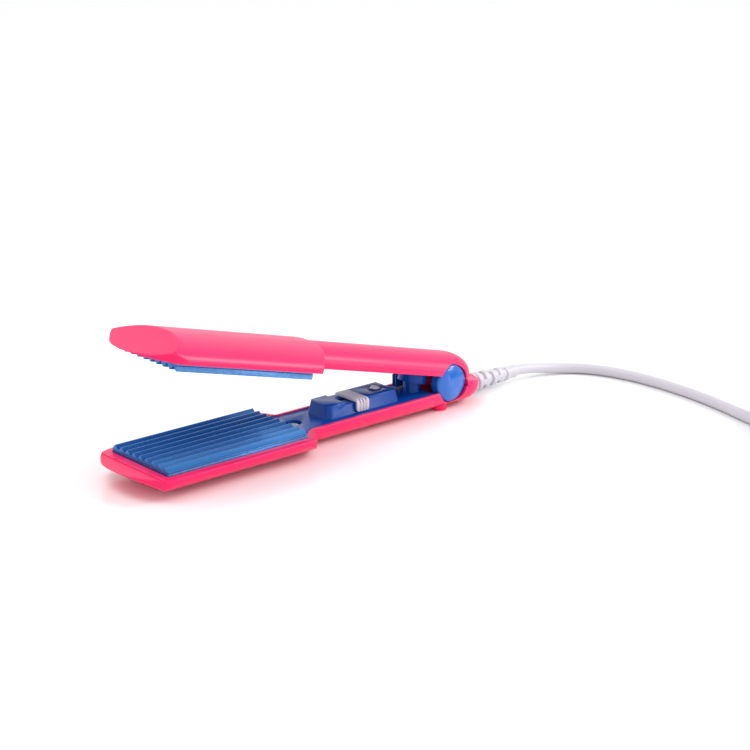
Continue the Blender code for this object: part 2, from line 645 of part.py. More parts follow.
def make_relief(parent, material):
    """A tapering sleeve with five raised rings and a flange inside the lobe."""
    profile = [(0, 13.0), (3.2, 13.0), (3.2, 24.6), (4.6, 25.2)]
    rings, first, last = 5, 26.0, 50.5
    pitch = (last - first) / rings
    for i in range(rings):
        start = first + i * pitch
        big = 4.75 - 0.28 * i
        profile += [(big, start), (big, start + pitch * 0.55), (big - 0.8, start + pitch * 0.62),
                    (big - 0.8, start + pitch * 0.93)]
    profile += [(3.25, 51), (3.1, RELIEF_END / MM - 0.4), (2.9, RELIEF_END / MM), (0, RELIEF_END / MM)]
    place = Matrix.Translation((0, 0, CORD_Z)) @ Matrix.Rotation(math.pi / 2, 4, "Y")
    add_object("strain_relief", turned([(r * MM, z * MM) for r, z in profile], place, 28), material, parent)


CORD_ROUTE = [
    (135.7, 0, 5.7), (142, -0.4, 5.3), (150, -1.6, 4.2), (158, -4.2, 3.2), (165, -8.6, 2.8), (171, -15, 2.7),
    (175.6, -23.5, 2.7), (178.8, -33.5, 2.7), (180.8, -45, 2.7), (181.6, -58, 2.7), (181.4, -72, 2.7),
    (180.2, -86, 2.7), (178, -100, 2.7), (175.4, -112, 2.7), (173.4, -122.5, 2.7),
]


def make_cord(materials):
    """The cord on the floor, its coiled rest, the tail that leaves the coil, and the plug with two pins."""
    add_tube("cord", in_mm(CORD_ROUTE), CORD_R, materials["cord"], spacing=5.6 * MM)
    inner, outer = COIL_MEAN_R - COIL_SIDE / 2, COIL_MEAN_R + COIL_SIDE / 2
    low, high = 0.1 * MM, 0.1 * MM + COIL_SIDE
    chamfer = 2.2 * MM
    profile = [(inner, low + chamfer), (inner + chamfer, low), (outer - chamfer, low), (outer, low + chamfer),
               (outer, high - chamfer), (outer - chamfer, high), (inner + chamfer, high),
               (inner, high - chamfer)]
    bm = bmesh.new()
    segments = 56
    x0, y0 = COIL_CENTRE
    rings = []
    for i in range(segments):
        angle = 2 * math.pi * i / segments
        c, s = math.cos(angle), math.sin(angle)
        rings.append([bm.verts.new((x0 + r * c, y0 + r * s, z)) for r, z in profile])
    for i in range(segments):
        first, second = rings[i], rings[(i + 1) % segments]
        for j in range(len(profile)):
            k = (j + 1) % len(profile)
            bm.faces.new((first[j], second[j], second[k], first[k]))
    add_object("cord_coil", bm, materials["cord"])
    make_plug(materials)


def make_plug(materials):
    """The cord's last stretch out of the coil, the plug's rounded grip and its two pins."""
    centre_x = COIL_CENTRE.x / MM
    tail_y = COIL_CENTRE.y / MM - COIL_MEAN_R / MM - 5.2
    tail = [(centre_x + 19.5, tail_y + 0.4, 2.7), (centre_x + 24, tail_y + 0.2, 2.8),
            (centre_x + 29, tail_y, 3.8), (centre_x + 34, tail_y, 5.3),
            (centre_x + 38, tail_y, 6.3), (centre_x + 41, tail_y, 6.7)]
    add_tube("cord_tail", in_mm(tail), CORD_R, materials["cord"], spacing=5 * MM)
    start, axis_z = centre_x + 41.7, 6.7
    grip = ((0, 3.4, 3.4), (9, 4.2, 4.2), (12, 6.4, 5.6), (26, 6.8, 6.2), (33, 7.4, 6.6), (35, 7.0, 6.2))
    rings = []
    for x, half, height in grip:
        section = []
        for i in range(16):
            across, up = math.cos(math.pi * i / 8), math.sin(math.pi * i / 8)
            y = tail_y + math.copysign(abs(across) ** 0.6, across) * half
            z = axis_z + math.copysign(abs(up) ** 0.6, up) * height
            section.append((start + x, y, z))
        rings.append(in_mm(section))
    add_object("plug_body", loft(rings), materials["cord"])
    for sign, label in ((-1, "left"), (1, "right")):
        y = tail_y + sign * 4.4
        base, tip = in_mm([(start + 35.3, y, axis_z), (start + 54, y, axis_z)])
        add_object(f"plug_pin_{label}", rod(2.0 * MM, base, tip, 16), materials["pin"])


def make_materials():
    """Every material by its short name."""
    return {
        "pink": make_material("pink_shell", (0.95, 0.03, 0.16), 0.32),
        "cover": make_material("blue_gloss", (0.005, 0.04, 0.22), 0.12),
        "cap": make_material("blue_cap", (0.02, 0.2, 0.65), 0.18),
        "plate": make_material("blue_plate", (0.03, 0.14, 0.42), 0.35, 0.8),
        "knob": make_material("pale_knob", (0.6, 0.55, 0.6), 0.4),
        "lens": make_material("pale_lens", (0.7, 0.6, 0.68), 0.15),
        "led": make_material("led", (0.8, 0.15, 0.1), 0.2),
        "cord": make_material("pale_cord", (0.68, 0.66, 0.7), 0.45),
        "steel": make_material("steel", (0.6, 0.6, 0.6), 0.3, 1.0),
        "screw": make_material("zinc_screw", (0.62, 0.62, 0.6), 0.3, 1.0),
        "pin": make_material("nickel_pin", (0.7, 0.68, 0.62), 0.2, 1.0),
        "carrier": make_material("carrier", (0.03, 0.03, 0.03), 0.6),
        "film": make_material("film", (0.55, 0.3, 0.05), 0.35),
        "board": make_material("board", (0.03, 0.22, 0.07), 0.45),
        "dark": make_material("dark_plastic", (0.02, 0.02, 0.02), 0.5),
        "fuse": make_material("fuse", (0.75, 0.72, 0.62), 0.4),
        "lead": make_material("lead", (0.7, 0.68, 0.64), 0.5),
    }


def add_empty(name, location):
    """An empty that places an arm or the slider."""
    empty = bpy.data.objects.new(name, None)
    bpy.context.scene.collection.objects.link(empty)
    empty.location = location
    return empty


def main():
    """Builds the whole crimper."""
    clear_scene()
    materials = make_materials()
    lower = add_empty("lower_arm_frame", (HINGE_X, 0, HINGE_Z))
    upper = add_empty("upper_arm_pivot", (HINGE_X, 0, HINGE_Z))
    slider = add_empty("switch_slider_frame", (HINGE_X + KNOB_X, 0, HINGE_Z))

    lower_casing = make_casing("lower_casing", *LOWER_REAR, lower, materials["pink"])
    add_screw_post(lower_casing)
    finish_lower_casing(lower_casing)
    upper_casing = make_casing("upper_casing", *UPPER_REAR, upper, materials["pink"])
    add_screw_post(upper_casing)
    finish_upper_casing(upper_casing)

    make_heating("lower", False, lower, materials)
    make_heating("upper", True, upper, materials)
    make_lower_cover(lower, materials["cover"])
    make_upper_cover(upper, materials["cover"])
    make_switch(lower, slider, materials)
    make_small_parts(lower, upper, materials)
    make_spring(lower, materials["steel"])
    make_leads(lower, upper, materials["lead"])
    make_relief(lower, materials["cord"])
    make_cord(materials)
    settle_modifiers()
    mirror_arm(upper)
    upper.rotation_euler = Euler((0, OPEN_ANGLE, 0))


main()
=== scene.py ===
"""Looks of the hair crimper: two sprung pink arms, blue ridged plates, a slide switch and a mains cord.

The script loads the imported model, stands finished pieces in for its nodes or dresses them, and lays out the
floor, the lights and the camera. Everything is in metres, +Z up. Sizes of the arms' pieces are in arm
coordinates: x from the hinge axis, z from the parting plane between the two arms.
"""

from __future__ import annotations

import logging
import math
from dataclasses import dataclass, field
from enum import Enum
from typing import Callable, Iterable, Sequence

import bmesh
import bpy
import numpy as np
from mathutils import Matrix, Vector

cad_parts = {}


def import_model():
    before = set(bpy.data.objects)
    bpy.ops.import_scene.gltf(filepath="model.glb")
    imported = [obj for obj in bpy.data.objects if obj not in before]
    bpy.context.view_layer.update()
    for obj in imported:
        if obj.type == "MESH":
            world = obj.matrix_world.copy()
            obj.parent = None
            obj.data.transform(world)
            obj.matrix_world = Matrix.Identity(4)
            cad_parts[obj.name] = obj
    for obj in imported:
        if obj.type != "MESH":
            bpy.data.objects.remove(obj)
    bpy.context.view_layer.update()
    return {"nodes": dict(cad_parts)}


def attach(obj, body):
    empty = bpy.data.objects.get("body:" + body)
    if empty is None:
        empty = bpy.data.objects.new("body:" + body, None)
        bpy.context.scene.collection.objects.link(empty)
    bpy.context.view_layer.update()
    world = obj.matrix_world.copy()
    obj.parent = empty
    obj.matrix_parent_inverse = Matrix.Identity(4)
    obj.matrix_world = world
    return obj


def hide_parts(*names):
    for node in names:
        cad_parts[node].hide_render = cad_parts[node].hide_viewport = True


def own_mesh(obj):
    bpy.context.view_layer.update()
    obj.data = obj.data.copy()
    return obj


LOG = logging.getLogger("crimper")
MM = 0.001
HINGE = Vector((80.75, 0.0, 13.6)) * MM
OPENING = math.radians(14.7)
QUARTER = math.pi / 2
COVER_SCREW = Vector((-86.8, 0.0, -5.9)) * MM
SPRING_X = -14.5 * MM
CORD_Z = -7.9 * MM
FLOOR_Z = -13.6 * MM

Object, Material = bpy.types.Object, bpy.types.Material
Node, Tree, Socket = bpy.types.Node, bpy.types.NodeTree, bpy.types.NodeSocket
Triple = tuple[float, float, float]
Point = Sequence[float]
EdgeTest = Callable[[Vector], bool]


class Arm(Enum):
    """The two arms, which are mirror images that share the hinge."""

    LOWER = "lower"
    UPPER = "upper"

    @property
    def body(self) -> str:
        """The moving body that this arm's pieces ride on."""
        return f"{self.value}_arm"

    @property
    def matrix(self) -> Matrix:
        """Arm coordinates to the shared frame, with the upper arm mirrored and turned open."""
        place = Matrix.Translation(HINGE)
        if self is Arm.UPPER:
            place = place @ Matrix.Rotation(OPENING, 4, "Y") @ Matrix.Diagonal((1, 1, -1, 1))
        return place

    def place(self, piece: Object, within: Matrix | None = None) -> None:
        """Moves a piece from arm coordinates, or from its own place within them, to the shared frame."""
        piece.data.transform(self.matrix if within is None else self.matrix @ within)
        if self is Arm.UPPER:
            piece.data.flip_normals()


# --- shaping ---------------------------------------------------------------------------------------------


def deselect() -> None:
    """Leaves nothing selected."""
    bpy.ops.object.select_all(action="DESELECT")


def pick(piece: Object) -> Object:
    """Selects this piece alone and makes it active."""
    deselect()
    piece.select_set(True)
    bpy.context.view_layer.objects.active = piece
    return piece


def newest(name: str) -> Object:
    """Names the primitive that was just added."""
    piece = bpy.context.object
    piece.name = name
    piece.data.name = name
    return piece


def edit(piece: Object, mode: str = "VERT") -> bmesh.types.BMesh:
    """Opens a piece in edit mode with nothing selected.

    Args:
        piece: The piece to open.
        mode: The kind of element to select by, VERT, EDGE or FACE.

    Returns:
        The mesh being edited.
    """
    pick(piece)
    bpy.ops.object.mode_set(mode="EDIT")
    bpy.ops.mesh.select_mode(type=mode)
    bpy.ops.mesh.select_all(action="DESELECT")
    return bmesh.from_edit_mesh(piece.data)


def leave_edit() -> None:
    """Goes back to object mode."""
    bpy.ops.object.mode_set(mode="OBJECT")


def grid(name: str, points: np.ndarray, weld: float) -> Object:
    """A grid through rows of points, left in edit mode with everything selected.

    Args:
        name: The new piece's name.
        points: The rows of points.
        weld: Points nearer than this become one.

    Returns:
        The new piece.
    """
    rows, columns = points.shape[:2]
    deselect()
    bpy.ops.mesh.primitive_grid_add(x_subdivisions=columns - 1, y_subdivisions=rows - 1)
    piece = newest(name)
    piece.data.vertices.foreach_set("co", points.reshape(-1))
    edit(piece)
    bpy.ops.mesh.select_all(action="SELECT")
    bpy.ops.mesh.remove_doubles(threshold=weld)
    return piece


def skin(name: str, rings: Sequence[Sequence[Point]], closed: bool = False) -> Object:
    """Wraps a grid round rings of equally many points into one closed body.

    Args:
        name: The new piece's name.
        rings: The stations, each a closed ring of points.
        closed: Whether the last station joins the first, as round a torus.

    Returns:
        The new piece, facing out.
    """
    points = np.array([[*map(tuple, ring), tuple(ring[0])] for ring in rings], float)
    if closed:
        points = np.concatenate([points, points[:1]])
    piece = grid(name, points, 1e-7)
    bpy.ops.mesh.select_all(action="DESELECT")
    bpy.ops.mesh.select_non_manifold()
    if not closed:
        bpy.ops.mesh.fill_holes(sides=0)
    bpy.ops.mesh.select_all(action="SELECT")
    bpy.ops.mesh.normals_make_consistent(inside=False)
    leave_edit()
    return piece


def prism(name: str, outline: Sequence[Point], axis: str, start: float, end: float) -> Object:
    """A closed body with a constant outline between two stations along an axis.

    Args:
        name: The new piece's name.
        outline: The outline in the plane across the axis: (y, z), (x, z) or (x, y).
        axis: X, Y or Z.
        start: The first station.
        end: The last station.

    Returns:
        The new piece.
    """
    order = {"X": (2, 0, 1), "Y": (0, 2, 1), "Z": (0, 1, 2)}[axis]
    return skin(name, [[tuple((u, v, w)[k] for k in order) for u, v in outline] for w in (start, end)])


def block(name: str, low: Point, high: Point) -> Object:
    """A box between two corners, ready to be shaped or to cut with."""
    deselect()
    middle = (Vector(low) + Vector(high)) / 2
    bpy.ops.mesh.primitive_cube_add(size=1, location=middle)
    piece = newest(name)
    piece.scale = Vector(high) - Vector(low)
    bpy.ops.object.transform_apply(location=True, rotation=True, scale=True)
    return piece


def bar(name: str, radius: float, start: Point, end: Point, sides: int = 64) -> Object:
    """A round bar between two points."""
    first, last = Vector(start), Vector(end)
    deselect()
    bpy.ops.mesh.primitive_cylinder_add(vertices=sides, radius=radius, depth=(last - first).length,
                                        location=(first + last) / 2,
                                        rotation=(last - first).to_track_quat("Z", "Y").to_euler())
    piece = newest(name)
    bpy.ops.object.transform_apply(location=True, rotation=True, scale=True)
    return piece


def lathe(name: str, profile: Sequence[Point], matrix: Matrix, steps: int = 72) -> Object:
    """Spins a profile of (radius, height) points about local Z.

    Args:
        name: The new piece's name.
        profile: The points in millimetres, which start and end on the axis.
        matrix: Where the piece goes.
        steps: How many steps the spin has.

    Returns:
        The new piece, closed and facing out.
    """
    deselect()
    bpy.ops.mesh.primitive_plane_add(size=1)
    piece = newest(name)
    mesh = edit(piece)
    bmesh.ops.delete(mesh, geom=list(mesh.verts), context="VERTS")
    chain = [mesh.verts.new((radius * MM, 0.0, height * MM)) for radius, height in profile]
    for first, second in zip(chain, chain[1:]):
        mesh.edges.new((first, second))
    bmesh.update_edit_mesh(piece.data)
    bpy.ops.mesh.select_all(action="SELECT")
    bpy.ops.mesh.spin(steps=steps, angle=2 * math.pi, center=(0, 0, 0), axis=(0, 0, 1), use_auto_merge=True)
    bpy.ops.mesh.select_all(action="SELECT")
    bpy.ops.mesh.remove_doubles(threshold=1e-6)
    bpy.ops.mesh.normals_make_consistent(inside=False)
    leave_edit()
    piece.data.transform(matrix)
    return piece


def apply_modifier(piece: Object, modifier: bpy.types.Modifier) -> None:
    """Applies one modifier to the piece's mesh."""
    pick(piece)
    bpy.ops.object.modifier_apply(modifier=modifier.name)


def merge(piece: Object, other: Object, operation: str = "DIFFERENCE") -> Object:
    """Cuts other out of piece, or joins it on, and removes other.

    Args:
        piece: The piece that is shaped.
        other: The piece that shapes it.
        operation: DIFFERENCE, UNION or INTERSECT.

    Returns:
        The shaped piece.
    """
    modifier = piece.modifiers.new("shape", "BOOLEAN")
    modifier.operation = operation
    modifier.solver = "EXACT"
    modifier.object = other
    apply_modifier(piece, modifier)
    bpy.data.objects.remove(other, do_unlink=True)
    return piece


def fuse_close_points(piece: Object, within: float) -> None:
    """Merges points that lie closer than a distance and drops faces with no area."""
    edit(piece)
    bpy.ops.mesh.select_all(action="SELECT")
    bpy.ops.mesh.remove_doubles(threshold=within)
    bpy.ops.mesh.dissolve_degenerate(threshold=within / 4)
    leave_edit()


def round_edges(piece: Object, width: float, segments: int = 2, angle: float = 32.0,
                where: EdgeTest | None = None) -> None:
    """Bevels the edges that are sharper than an angle.

    Args:
        piece: The piece that is shaped.
        width: The bevel's width.
        segments: How many faces the bevel has across.
        angle: The least angle between two faces, in degrees.
        where: A test of an edge's middle, which leaves an edge sharp where it is false.
    """
    mesh = edit(piece, "EDGE")
    least = math.radians(angle)
    for edge in mesh.edges:
        if not edge.is_manifold or edge.calc_face_angle(0.0) < least:
            continue
        if where is None or where((edge.verts[0].co + edge.verts[1].co) / 2):
            edge.select_set(True)
    bmesh.update_edit_mesh(piece.data)
    bpy.ops.mesh.bevel(offset=width, offset_type="OFFSET", segments=segments, profile=0.5, affect="EDGES",
                       clamp_overlap=False, miter_outer="ARC")
    leave_edit()



def copy_of(node: str, name: str) -> Object:
    """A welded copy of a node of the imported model, to be shaped further.

    Args:
        node: The node to copy.
        name: The new piece's name.

    Returns:
        The copy, with its flat faces whole again.
    """
    source = bpy.data.objects[node]
    piece = bpy.data.objects.new(name, source.data.copy())
    bpy.context.scene.collection.objects.link(piece)
    piece.data.name = name
    piece.data.materials.clear()
    edit(piece)
    bpy.ops.mesh.select_all(action="SELECT")
    bpy.ops.mesh.customdata_custom_splitnormals_clear()
    bpy.ops.mesh.remove_doubles(threshold=2e-6)
    bpy.ops.mesh.dissolve_limited(angle_limit=math.radians(0.6))
    leave_edit()
    return piece


def settle(piece: Object, material: Material, body: str,
           nodes: Iterable[str] = (), crease: float = 40.0) -> Object:
    """Gives a finished piece its shading, its material and its place in the model.

    Args:
        piece: The finished piece.
        material: Its material.
        body: The body that it rides on.
        nodes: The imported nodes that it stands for.
        crease: Edges sharper than this stay sharp in the shading, in degrees.

    Returns:
        The piece.
    """
    if piece.type == "MESH":
        pick(piece)
        bpy.ops.object.shade_smooth_by_angle(angle=math.radians(crease))
    piece.data.materials.clear()
    piece.data.materials.append(material)
    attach(piece, body)
    if nodes:
        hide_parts(*nodes)
    faces = len(piece.data.polygons) if piece.type == "MESH" else 0
    LOG.info("%s rides on %s, %d faces", piece.name, body, faces)
    return piece


# --- finishes --------------------------------------------------------------------------------------------


class Graph:
    """A small helper that adds and links nodes of one node tree."""

    def __init__(self, tree: Tree) -> None:
        """Starts on a tree."""
        self.tree = tree

    def add(self, kind: str, **inputs: object) -> Node:
        """Adds a node and sets or links its inputs.

        Args:
            kind: The node type without its ShaderNode prefix.
            **inputs: Values or sockets by input name, with _ for a space, and properties in lower case.

        Returns:
            The new node.
        """
        node = self.tree.nodes.new(f"ShaderNode{kind}")
        for key, value in inputs.items():
            if key[0].islower():
                setattr(node, key, value)
                continue
            socket = node.inputs[key.replace("_", " ")]
            if isinstance(value, Socket):
                self.tree.links.new(value, socket)
            else:
                socket.default_value = value
        return node

    def link(self, source: Socket, target: Socket) -> None:
        """Links two sockets."""
        self.tree.links.new(source, target)

    def scaled(self, value: Socket, low: float, high: float) -> Socket:
        """Maps a mask from 0 and 1 to low and high."""
        node = self.add("MapRange", Value=value)
        node.inputs["To Min"].default_value = low
        node.inputs["To Max"].default_value = high
        return node.outputs["Result"]

    def blend(self, mask: Socket, *colours: Triple | Socket) -> Socket:
        """Mixes two colours, given or linked, by a mask."""
        node = self.add("Mix", data_type="RGBA", Factor=mask)
        for socket, colour in zip([s for s in node.inputs if s.type == "RGBA"], colours):
            if isinstance(colour, Socket):
                self.link(colour, socket)
            else:
                socket.default_value = (*colour, 1.0)
        return next(s for s in node.outputs if s.type == "RGBA")

    def surface(self, shader: Node, colour: Socket, rough: Socket, **bump: float | Socket) -> None:
        """Links a colour, a roughness and a bump, given by its inputs, into a shader."""
        self.link(colour, shader.inputs["Base Color"])
        self.link(rough, shader.inputs["Roughness"])
        self.link(self.add("Bump", **bump).outputs["Normal"], shader.inputs["Normal"])


def group_tree(name: str, inputs: dict[str, float], outputs: dict[str, str]) -> tuple[Tree, Graph]:
    """An empty shader node group with its sockets.

    Args:
        name: The group's name.
        inputs: Number inputs and their defaults.
        outputs: Outputs and their socket types.

    Returns:
        The group and a graph on it.
    """
    tree = bpy.data.node_groups.new(name, "ShaderNodeTree")
    for label, value in inputs.items():
        socket = tree.interface.new_socket(label, in_out="INPUT", socket_type="NodeSocketFloat")
        socket.default_value = value
    for label, kind in outputs.items():
        tree.interface.new_socket(label, in_out="OUTPUT", socket_type=kind)
    tree.nodes.new("NodeGroupInput")
    tree.nodes.new("NodeGroupOutput")
    return tree, Graph(tree)


def moulded_grain() -> Tree:
    """The fine spark grain, faint flow mottling and handling haze of moulded plastic.

    Returns:
        A group with Mottle, Haze and Height outputs.
    """
    found = bpy.data.node_groups.get("moulded_grain")
    if found:
        return found
    tree, graph = group_tree("moulded_grain", {"Grain Scale": 2600.0, "Mottle Scale": 38.0},
                             dict.fromkeys(("Mottle", "Haze", "Height"), "NodeSocketFloat"))
    given, out = tree.nodes["Group Input"], tree.nodes["Group Output"]
    place = graph.add("TexCoord").outputs["Object"]
    mottle = graph.add("TexNoise", Vector=place, Scale=given.outputs["Mottle Scale"], Detail=3.0,
                       Roughness=0.55)
    spark = graph.add("TexNoise", Vector=place, Scale=given.outputs["Grain Scale"], Detail=2.0, Roughness=0.6)
    pits = graph.add("TexVoronoi", Vector=place, Scale=given.outputs["Grain Scale"])
    haze = graph.add("TexNoise", Vector=place, Scale=120.0, Detail=5.0, Roughness=0.7, Distortion=1.2)
    height = graph.add("Math", operation="MULTIPLY_ADD")
    graph.link(pits.outputs["Distance"], height.inputs[0])
    height.inputs[1].default_value = 0.5
    graph.link(spark.outputs["Fac"], height.inputs[2])
    graph.link(mottle.outputs["Fac"], out.inputs["Mottle"])
    graph.link(haze.outputs["Fac"], out.inputs["Haze"])
    graph.link(height.outputs["Value"], out.inputs["Height"])
    return tree


def drawn_lines() -> Tree:
    """The fine parallel lines that drawing or extruding leaves along X on metal.

    Returns:
        A group with Lines and Stain outputs.
    """
    found = bpy.data.node_groups.get("drawn_lines")
    if found:
        return found
    tree, graph = group_tree("drawn_lines", {"Line Scale": 900.0},
                             {"Lines": "NodeSocketFloat", "Stain": "NodeSocketFloat"})
    given, out = tree.nodes["Group Input"], tree.nodes["Group Output"]
    place = graph.add("TexCoord").outputs["Object"]
    stretch = graph.add("Mapping", Vector=place)
    stretch.inputs["Scale"].default_value = (0.03, 1.0, 1.0)
    lines = graph.add("TexNoise", Vector=stretch.outputs["Vector"], Scale=given.outputs["Line Scale"],
                      Detail=3.0)
    stain = graph.add("TexNoise", Vector=place, Scale=55.0, Detail=4.0, Roughness=0.65)
    graph.link(lines.outputs["Fac"], out.inputs["Lines"])
    graph.link(stain.outputs["Fac"], out.inputs["Stain"])
    return tree


def edge_wear_and_highlight() -> Tree:
    """Lighter colour on convex edges, broken up by noise: partly edge wear, partly a painted highlight.

    Returns:
        A group with a WearAndHighlight output.
    """
    found = bpy.data.node_groups.get("edge_wear_and_highlight")
    if found:
        return found
    tree, graph = group_tree("edge_wear_and_highlight", {"Amount": 0.5}, {"WearAndHighlight": "NodeSocketFloat"})
    given, out = tree.nodes["Group Input"], tree.nodes["Group Output"]
    place = graph.add("TexCoord").outputs["Object"]
    bend = graph.add("NewGeometry").outputs["Pointiness"]
    sharp = graph.add("MapRange", Value=bend)
    sharp.inputs["From Min"].default_value = 0.53
    sharp.inputs["From Max"].default_value = 0.62
    broken = graph.add("TexNoise", Vector=place, Scale=420.0, Detail=4.0)
    mixed = graph.add("Math", operation="MULTIPLY")
    graph.link(sharp.outputs["Result"], mixed.inputs[0])
    graph.link(broken.outputs["Fac"], mixed.inputs[1])
    amount = graph.add("Math", operation="MULTIPLY", use_clamp=True)
    graph.link(mixed.outputs["Value"], amount.inputs[0])
    graph.link(given.outputs["Amount"], amount.inputs[1])
    graph.link(amount.outputs["Value"], out.inputs["WearAndHighlight"])
    return tree


def place_group(graph: Graph, tree: Tree, **values: float) -> Node:
    """Adds a node group to a material and sets its inputs."""
    node = graph.tree.nodes.new("ShaderNodeGroup")
    node.node_tree = tree
    for label, value in values.items():
        node.inputs[label.replace("_", " ")].default_value = value
    return node


def bare_material(name: str) -> tuple[Material, Graph, Node]:
    """A new material with its node graph and its Principled shader."""
    material = bpy.data.materials.new(name)
    material.use_nodes = True
    graph = Graph(material.node_tree)
    return material, graph, material.node_tree.nodes["Principled BSDF"]


@dataclass(frozen=True)
class MouldedPlastic:
    """An injection-moulded plastic.

    Attributes:
        name: The material's name.
        colour: Its base colour, linear.
        second: The colour that its mottling drifts to.
        roughness: The roughness in the clean parts.
        haze: How much rougher handled parts are.
        grain: The bump's depth.
        coat: The clear coat's weight.
        coat_roughness: The clear coat's roughness.
        grain_scale: How fine the spark grain is.
        subsurface: How much light goes into the plastic.
        wear_and_highlight_colour: The lighter colour on convex edges, partly wear and partly a painted
            highlight.
        wear_and_highlight_amount: How much of that edge colour shows.
        specular: The specular level.
    """

    name: str
    colour: Triple
    second: Triple
    roughness: float
    haze: float = 0.06
    grain: float = 0.00001
    coat: float = 0.0
    coat_roughness: float = 0.1
    grain_scale: float = 2600.0
    subsurface: float = 0.0
    wear_and_highlight_colour: Triple | None = None
    wear_and_highlight_amount: float = 0.3
    specular: float = 0.5

    def build(self) -> Material:
        """Makes the material."""
        material, graph, shader = bare_material(self.name)
        grain = place_group(graph, moulded_grain(), Grain_Scale=self.grain_scale)
        colour = graph.blend(grain.outputs["Mottle"], self.colour, self.second)
        # Convex edges take a lighter colour: partly wear, partly a painted edge highlight.
        if self.wear_and_highlight_colour:
            worn_and_lit = place_group(graph, edge_wear_and_highlight(), Amount=self.wear_and_highlight_amount)
            colour = graph.blend(worn_and_lit.outputs["WearAndHighlight"], colour, self.wear_and_highlight_colour)
        rough = graph.scaled(grain.outputs["Haze"], self.roughness, self.roughness + self.haze)
        graph.surface(shader, colour, rough, Height=grain.outputs["Height"], Strength=0.5,
                      Distance=self.grain)
        shader.inputs["Coat Weight"].default_value = self.coat
        shader.inputs["Coat Roughness"].default_value = self.coat_roughness
        shader.inputs["Specular IOR Level"].default_value = self.specular
        if self.subsurface:
            shader.inputs["Subsurface Weight"].default_value = self.subsurface
            shader.inputs["Subsurface Radius"].default_value = (1.0, 0.5, 0.5)
            shader.inputs["Subsurface Scale"].default_value = 0.002
        return material


@dataclass(frozen=True)
class DrawnMetal:
    """A metal with fine lines along X, bare or anodised.

    Attributes:
        name: The material's name.
        colour: Its colour, linear.
        stained: The colour that it drifts to.
        roughness: The least roughness.
        spread: How much rougher the lines make it.
        metallic: How metallic the surface is.
        line_scale: How fine the lines are.
        depth: The bump's depth.
        wear_and_highlight_amount: How much of the lighter edge colour shows.
        bare_edge_and_sheen: The colour of convex edges, worn bare on the bare metals and a painted highlight
            on the plate's ridge crests.
    """

    name: str
    colour: Triple
    stained: Triple
    roughness: float
    spread: float = 0.12
    metallic: float = 1.0
    line_scale: float = 900.0
    depth: float = 0.00001
    wear_and_highlight_amount: float = 0.4
    bare_edge_and_sheen: Triple = (0.75, 0.76, 0.78)

    def build(self) -> Material:
        """Makes the material."""
        material, graph, shader = bare_material(self.name)
        lines = place_group(graph, drawn_lines(), Line_Scale=self.line_scale)
        # Convex edges take a lighter colour: wear on bare metals, a painted highlight on the plate's ridge
        # crests.
        worn_and_lit = place_group(graph, edge_wear_and_highlight(), Amount=self.wear_and_highlight_amount)
        colour = graph.blend(lines.outputs["Stain"], self.colour, self.stained)
        colour = graph.blend(worn_and_lit.outputs["WearAndHighlight"], colour, self.bare_edge_and_sheen)
        rough = graph.scaled(lines.outputs["Lines"], self.roughness, self.roughness + self.spread)
        graph.surface(shader, colour, rough, Height=lines.outputs["Lines"], Strength=0.4, Distance=self.depth)
        shader.inputs["Metallic"].default_value = self.metallic
        return material


@dataclass(frozen=True)
class WovenSleeve:
    """The woven glass sleeve on a heater lead, as fine crossed threads.

    Attributes:
        name: The material's name.
        colour: The threads' colour.
        gap: The colour between them.
    """

    name: str = "woven_sleeve"
    colour: Triple = (0.78, 0.76, 0.7)
    gap: Triple = (0.42, 0.4, 0.36)

    def build(self) -> Material:
        """Makes the material."""
        material, graph, shader = bare_material(self.name)
        place = graph.add("TexCoord").outputs["Object"]
        waves = []
        for turn in (0.7, -0.7):
            tilt = graph.add("Mapping", Vector=place)
            tilt.inputs["Rotation"].default_value = (0.3, 0.2, turn)
            wave = graph.add("TexWave", Vector=tilt.outputs["Vector"], Scale=700.0, Distortion=0.4)
            waves.append(wave.outputs["Fac"])
        cross = graph.add("Math", operation="MAXIMUM")
        graph.link(waves[0], cross.inputs[0])
        graph.link(waves[1], cross.inputs[1])
        height = cross.outputs["Value"]
        graph.surface(shader, graph.blend(height, self.gap, self.colour), graph.scaled(height, 0.8, 0.6),
                      Height=height, Strength=0.6, Distance=0.0001)
        return material


@dataclass(frozen=True)
class CircuitBoard:
    """A green circuit board with faint copper tracks under its mask.

    Attributes:
        name: The material's name.
        mask: The solder mask's colour.
        track: The colour over a track.
    """

    name: str = "solder_mask"
    mask: Triple = (0.015, 0.13, 0.045)
    track: Triple = (0.04, 0.24, 0.08)

    def build(self) -> Material:
        """Makes the material."""
        material, graph, shader = bare_material(self.name)
        place = graph.add("TexCoord").outputs["Object"]
        tracks = graph.add("TexBrick", Vector=place, Scale=260.0)
        tracks.inputs["Mortar Size"].default_value = 0.06
        height = tracks.outputs["Fac"]
        haze = graph.add("TexNoise", Vector=place, Scale=300.0)
        graph.surface(shader, graph.blend(height, self.mask, self.track),
                      graph.scaled(haze.outputs["Fac"], 0.22, 0.4),
                      Height=height, Strength=0.5, Distance=0.00003)
        return material


